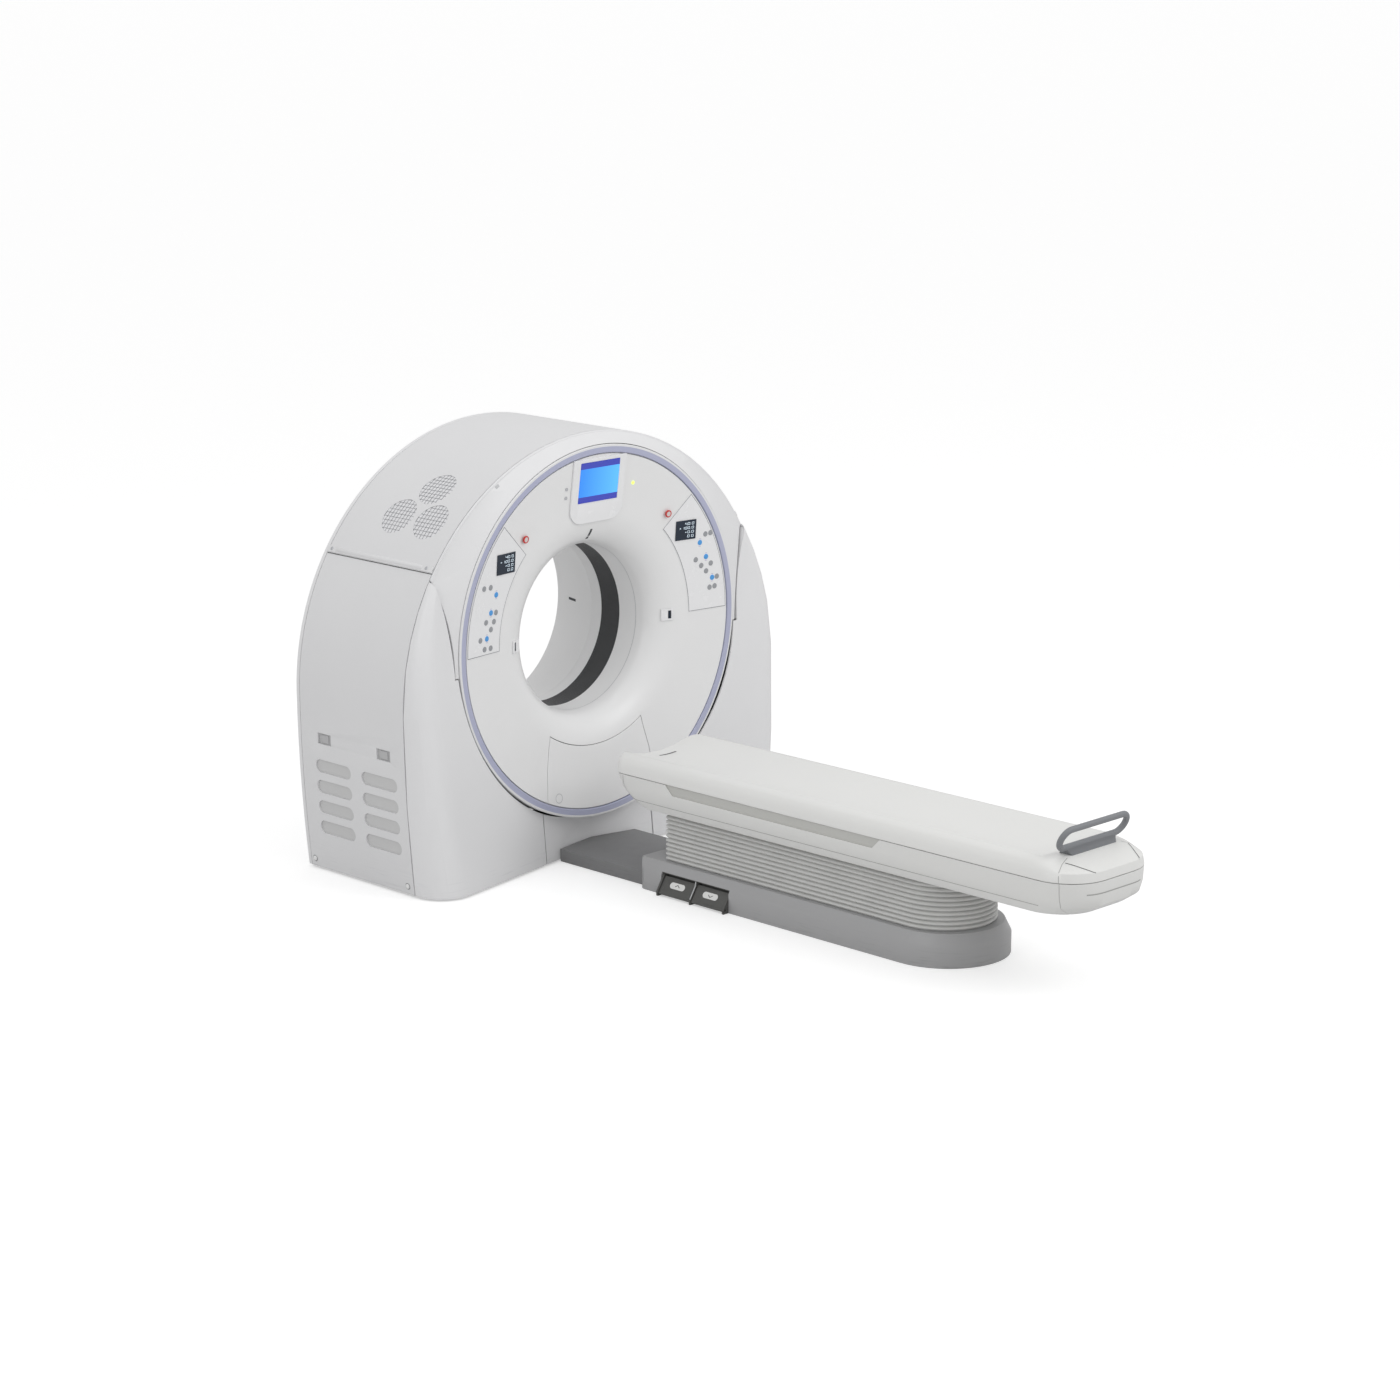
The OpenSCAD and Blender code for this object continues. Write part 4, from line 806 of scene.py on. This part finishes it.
STOP_REACH = 0.652
STOP_TURN = math.radians(47.5)
STOP_SIDES = 32
STOP_RINGS = ((0.006, -0.020), (0.006, 0.0065), (0.0155, 0.0070), (0.0170, 0.0085), (0.0170, 0.0130),
              (0.0158, 0.0148), (0.0128, 0.0150), (0.0112, 0.0138), (0.0104, 0.0134), (0.0060, 0.0142))
COLLAR_BANDS = 7
stop_red = moulded("stop_red", srgb(206, 52, 46), srgb(182, 36, 34), (0.22, 0.36), 0.001, 0.05)
stop_pale = moulded("stop_pale", srgb(222, 214, 212), srgb(206, 196, 194), (0.25, 0.4), 0.001, 0.05)
for way, side in ((-1, "left"), (1, "right")):
    seat = dish_seat(way * STOP_REACH * math.cos(STOP_TURN), BORE_HEIGHT + STOP_REACH * math.sin(STOP_TURN))
    work = bmesh.new()
    loops = turned(work, STOP_RINGS, STOP_SIDES, seat)
    for k, face in enumerate(work.faces):
        face.material_index = 1 if k // STOP_SIDES >= COLLAR_BANDS else 0
    work.faces.new(loops[-1]).material_index = 1
    work.faces.new(list(reversed(loops[0])))
    cap = placed("stop_cap_" + side, work, "stop_" + side, stop_red, stop_pale)
    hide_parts("stop_button_" + side)

# Main display.
# A white shield on the top of the dish carries a flat screen behind glass. The picture is a blue field
# between two dark bands. Lamps beside it show beam and breath-hold states.
SCREEN_WIDTH = 0.236
SCREEN_DEPTH = 0.184
SCREEN_RISE = 0.010
BAND_EDGE = (0.345, 0.355)
dressed("display_housing", membrane, 0.005)
screen_picture, tree, shader = new_finish("screen_picture")
place = add(tree, "ShaderNodeUVMap", uv_map="screen").outputs[0]
spread = add(tree, "ShaderNodeSeparateXYZ", {0: place}).outputs
sky = mixed(tree, spread["X"], srgb(46, 128, 224), srgb(84, 172, 244))
off = maths(tree, "ABSOLUTE", maths(tree, "SUBTRACT", spread["Y"], 0.5))
tone = mixed(tree, ranged(tree, off, 0.0, 1.0, *BAND_EDGE), sky, srgb(52, 60, 158))
plug(tree, shader, {"Base Color": tone, "Emission Color": tone, "Emission Strength": 0.55,
                    "Roughness": 0.12})
screen = dressed("display_screen", screen_picture, 0.0)
seat = dish_seat(0.0, BORE_HEIGHT + DISPLAY_REACH).inverted()
sheet = screen.data.uv_layers.new(name="screen")
for loop in screen.data.loops:
    spot = seat @ screen.data.vertices[loop.vertex_index].co
    sheet.data[loop.index].uv = (spot.x / SCREEN_WIDTH + 0.5, (spot.y - SCREEN_RISE) / SCREEN_DEPTH + 0.5)
lamp_glow = glow("lamp_glow", srgb(214, 238, 60), 0.9)
lamp_off = moulded("lamp_off", srgb(190, 191, 195), srgb(172, 174, 178), (0.25, 0.4))
lamps = dressed("status_lamps", lamp_glow, 0.0008)
lamps.data.materials.append(lamp_off)
for face in lamps.data.polygons:
    face.material_index = 1 if face.center.x < 0 else 0

# Positioning lights.
# White pods at both sides of the bore mouth hold the laser modules, each behind a dark glass slot.
dressed("light_pods", membrane, 0.003)
dressed("laser_windows", display_glass, 0.0005)

# Couch base.
# A pressed steel cover in grey enamel on the floor plate, with a plate that bridges to the gantry.
base_enamel = moulded("base_enamel", srgb(168, 168, 169), srgb(154, 154, 155), (0.36, 0.52), 0.002, 0.1,
                      0.10)
bridge_enamel = moulded("bridge_enamel", srgb(132, 132, 133), srgb(118, 118, 119), (0.42, 0.6), 0.003, 0.2,
                        0.08)
dressed("base_cover", base_enamel, 0.003)
dressed("bridge_plate", bridge_enamel, 0.003)

# Pedals.
# Charcoal moulded treads in a low housing at the base's side. An oval white pad marks each one, and a
# pale strip on the rib between them parts the two.
PEDALS_Y = -1.159
PEDAL_STEP = 0.1
HINGE_X = -0.297
HINGE_Z = 0.016
TREAD_TILT = math.radians(57)
PAD_MIDDLE = 0.043
PAD_STRAIGHT = 0.030
PAD_ROUND = 0.0145
PAD_POINTS = 40
PAD_FACE = 0.0063
MARK_FACE = 0.0066
CHEVRON = ((-0.013, -0.005), (0.0, 0.004), (0.013, -0.005), (0.013, -0.001), (0.0, 0.008), (-0.013, -0.001))
charcoal = moulded("charcoal", srgb(88, 88, 86), srgb(72, 72, 70), (0.5, 0.7), 0.002, 0.2, 0.05)
pad_white = moulded("pad_white", srgb(230, 230, 228), srgb(214, 214, 212), (0.4, 0.55), 0.002, 0.1)
dressed("pedal_housing", charcoal, 0.002)


def pedal_seat(y):
    """Seat at a pedal's hinge: X up the tread, Y along the couch, Z out of the tread."""
    return Matrix.Translation((HINGE_X, y, HINGE_Z)) @ Matrix.Rotation(-TREAD_TILT, 4, "Y")


for name, way in (("up", 1), ("down", -1)):
    dressed("pedal_" + name, charcoal, 0.0012)
    seat = pedal_seat(PEDALS_Y + way * PEDAL_STEP)
    oval = []
    for k in range(PAD_POINTS):
        a = math.tau * (k + 0.5) / PAD_POINTS
        along = math.copysign(PAD_STRAIGHT, math.cos(a)) + PAD_ROUND * math.cos(a)
        oval.append(seat @ Vector((PAD_MIDDLE + PAD_ROUND * math.sin(a), along, PAD_FACE)))
    plates("pedal_pad_" + name, [oval], pad_white, name + "_pedal")
    chevron = [seat @ Vector((PAD_MIDDLE + way * h, w, MARK_FACE)) for w, h in CHEVRON]
    plates("pedal_mark_" + name, [chevron], charcoal, name + "_pedal")
rib = [pedal_seat(PEDALS_Y) @ Vector((up, 0.0, 0.03)) for up in (0.004, 0.078)]
inlay("pedal_divider", [rib], 0.005, shell_of("pedal_housing"), pale_line_and_shade, "gantry")

# Bellows.
# Coated cloth folded into level pleats round the lift, glued to the base rim and to the flange inside
# the couch. On the couch it opens as the couch rises; here the pleats are one fixed mesh.
PLEATS = 12
PLEAT_STEPS = 12
FOLD_DEPTH = 0.022
GLUED_DEPTH = 0.010
LOW_Z = 0.1403
HIGH_Z = 0.3847
HALF = 0.228
HEAD_Y = -0.925
FOOT_Y = -2.564
CORNER = 0.02
SIDE_STEPS = 40
bellows_cloth, tree, shader = new_finish("bellows_cloth")
place = add(tree, "ShaderNodeTexCoord").outputs["Object"]
cloud = noise(tree, place, 9.0, 5.0)
threads = noise(tree, place, 900.0, 2.0)
plug(tree, shader, {"Base Color": mixed(tree, cloud, srgb(210, 210, 208), srgb(198, 198, 196)),
                    "Roughness": ranged(tree, cloud, 0.55, 0.75),
                    "Normal": bumped(tree, threads, 0.25, 0.0005)})


def arc(x, y, radius, start, sweep, count):
    """Points round a bend in plan, each with the direction it faces."""
    bend = [start + sweep * k / count for k in range(count + 1)]
    return [(x + radius * math.cos(a), y + radius * math.sin(a), a) for a in bend]


def straight(x, start, end, facing):
    return [(x, start + (end - start) * k / SIDE_STEPS, facing) for k in range(1, SIDE_STEPS)]


path = arc(HALF - CORNER, HEAD_Y - CORNER, CORNER, 0.0, math.pi / 2, 12)
path += arc(CORNER - HALF, HEAD_Y - CORNER, CORNER, math.pi / 2, math.pi / 2, 12)
path += straight(-HALF, HEAD_Y - CORNER, FOOT_Y + HALF, math.pi)
path += arc(0.0, FOOT_Y + HALF, HALF, math.pi, math.pi, 48)
path += straight(HALF, FOOT_Y + HALF, HEAD_Y - CORNER, 0.0)
work = bmesh.new()
rows = []
for k in range(PLEATS * PLEAT_STEPS + 1):
    z = LOW_Z + (HIGH_Z - LOW_Z) * k / (PLEATS * PLEAT_STEPS)
    deepest = FOLD_DEPTH if 0 < k < PLEATS * PLEAT_STEPS else GLUED_DEPTH
    depth = deepest * (1.0 - abs(math.sin(math.pi * k / PLEAT_STEPS)) ** 0.5)
    rows.append([work.verts.new((x - depth * math.cos(a), y - depth * math.sin(a), z)) for x, y, a in path])
for lower, upper in zip(rows, rows[1:]):
    for k in range(len(path)):
        n = (k + 1) % len(path)
        work.faces.new((lower[k], lower[n], upper[n], upper[k])).smooth = True
pleats = worked("bellows_pleats", work, bellows_cloth)
scene.collection.objects.link(pleats)
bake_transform(pleats)
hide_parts("bellows")

# Couch and tabletop.
# A moulded grey-white body with a grip recess along each side and a separate foot cap. The recess is
# painted darker grey, partly its inlay's own tone and partly painted shade. The tabletop is a smooth
# dished moulding that slides on rails in the body. The handle is a bent tube.
couch_shell = moulded("couch_shell", srgb(227, 227, 225), srgb(216, 216, 214), (0.3, 0.45), 0.0018, 0.08)
table_shell = moulded("table_shell", srgb(231, 231, 229), srgb(222, 222, 220), (0.3, 0.45), 0.0018, 0.08)
handle_grey = moulded("handle_grey", srgb(132, 134, 138), srgb(114, 116, 120), (0.4, 0.55), 0.0015, 0.12)
grip_tone_and_shade = moulded("grip_tone_and_shade", srgb(196, 196, 192), srgb(186, 186, 182), (0.45, 0.6), 0.002, 0.15)
# A grey for the joints, also painted shade of the end slot; a darker grey, painted shade of grooves and the
# head slot.
seam_grey_and_slot_shade = moulded("seam_grey_and_slot_shade", srgb(168, 168, 166), srgb(156, 156, 154), (0.5, 0.65))
groove_shade_paint = moulded("groove_shade_paint", srgb(104, 104, 104), srgb(90, 90, 90), (0.5, 0.65))
GRIP_IN = 0.2725
GRIP_OUT = 0.279
GRIP_FOOT = -2.24
GRIP_HEAD = -0.97
GRIP_LOW = 0.45
body_shell = dressed("couch_body", couch_shell, 0.003, 40.0)
# Faces in the grip recess take a darker grey: partly the inlay's tone, partly painted shade of the recess.
body_shell.data.materials.append(grip_tone_and_shade)
for face in body_shell.data.polygons:
    x, y, z = face.center
    if GRIP_IN < abs(x) < GRIP_OUT and GRIP_FOOT < y < GRIP_HEAD and z > GRIP_LOW:
        face.material_index = 1
end_shell = dressed("couch_end_cap", couch_shell, 0.003, 40.0)
table_top = dressed("tabletop", table_shell, 0.003, 40.0)
dressed("foot_handle", handle_grey, 0.004, 60.0)

SEAM = 0.0025
GROOVE = 0.005
SLOT = 0.012
BODY_SEAM = ((0.28, -0.722, 0.496), (0.28, -0.722, 0.46), (0.279, -0.732, 0.425), (0.277, -0.757, 0.402),
             (0.275, -0.80, 0.397), (0.275, -3.06, 0.397))
END_SLOT = ((-0.19, -3.25, 0.452), (0.15, -3.25, 0.452))
TABLE_SEAM = ((0.262, -3.148, 0.505), (0.25, -3.14, 0.54), (0.215, -3.128, 0.57), (0.17, -3.118, 0.585))
TABLE_GROOVE = ((0.20, -3.132, 0.572), (0.14, -3.24, 0.54))
HEAD_SLOT = ((-0.05, -0.72, 0.56), (0.05, -0.72, 0.56))
# The seams are grey lines of the joints. The grooves and slots are not cut: dark strips lie on the skins in
# their place, painted shade of the recesses.
for name, lines, width, target, finish, body in (
    ("body_seams", both_sides(BODY_SEAM), SEAM, body_shell, seam_grey_and_slot_shade, "couch"),
    ("end_slot", [END_SLOT], GROOVE, end_shell, seam_grey_and_slot_shade, "couch"),
    ("table_seams", both_sides(TABLE_SEAM), SEAM, table_top, seam_grey_and_slot_shade, "table"),
    ("table_grooves", both_sides(TABLE_GROOVE), GROOVE, table_top, groove_shade_paint, "table"),
    ("head_slot", [HEAD_SLOT], SLOT, table_top, groove_shade_paint, "table"),
):
    inlay(name, lines, width, target, finish, body)
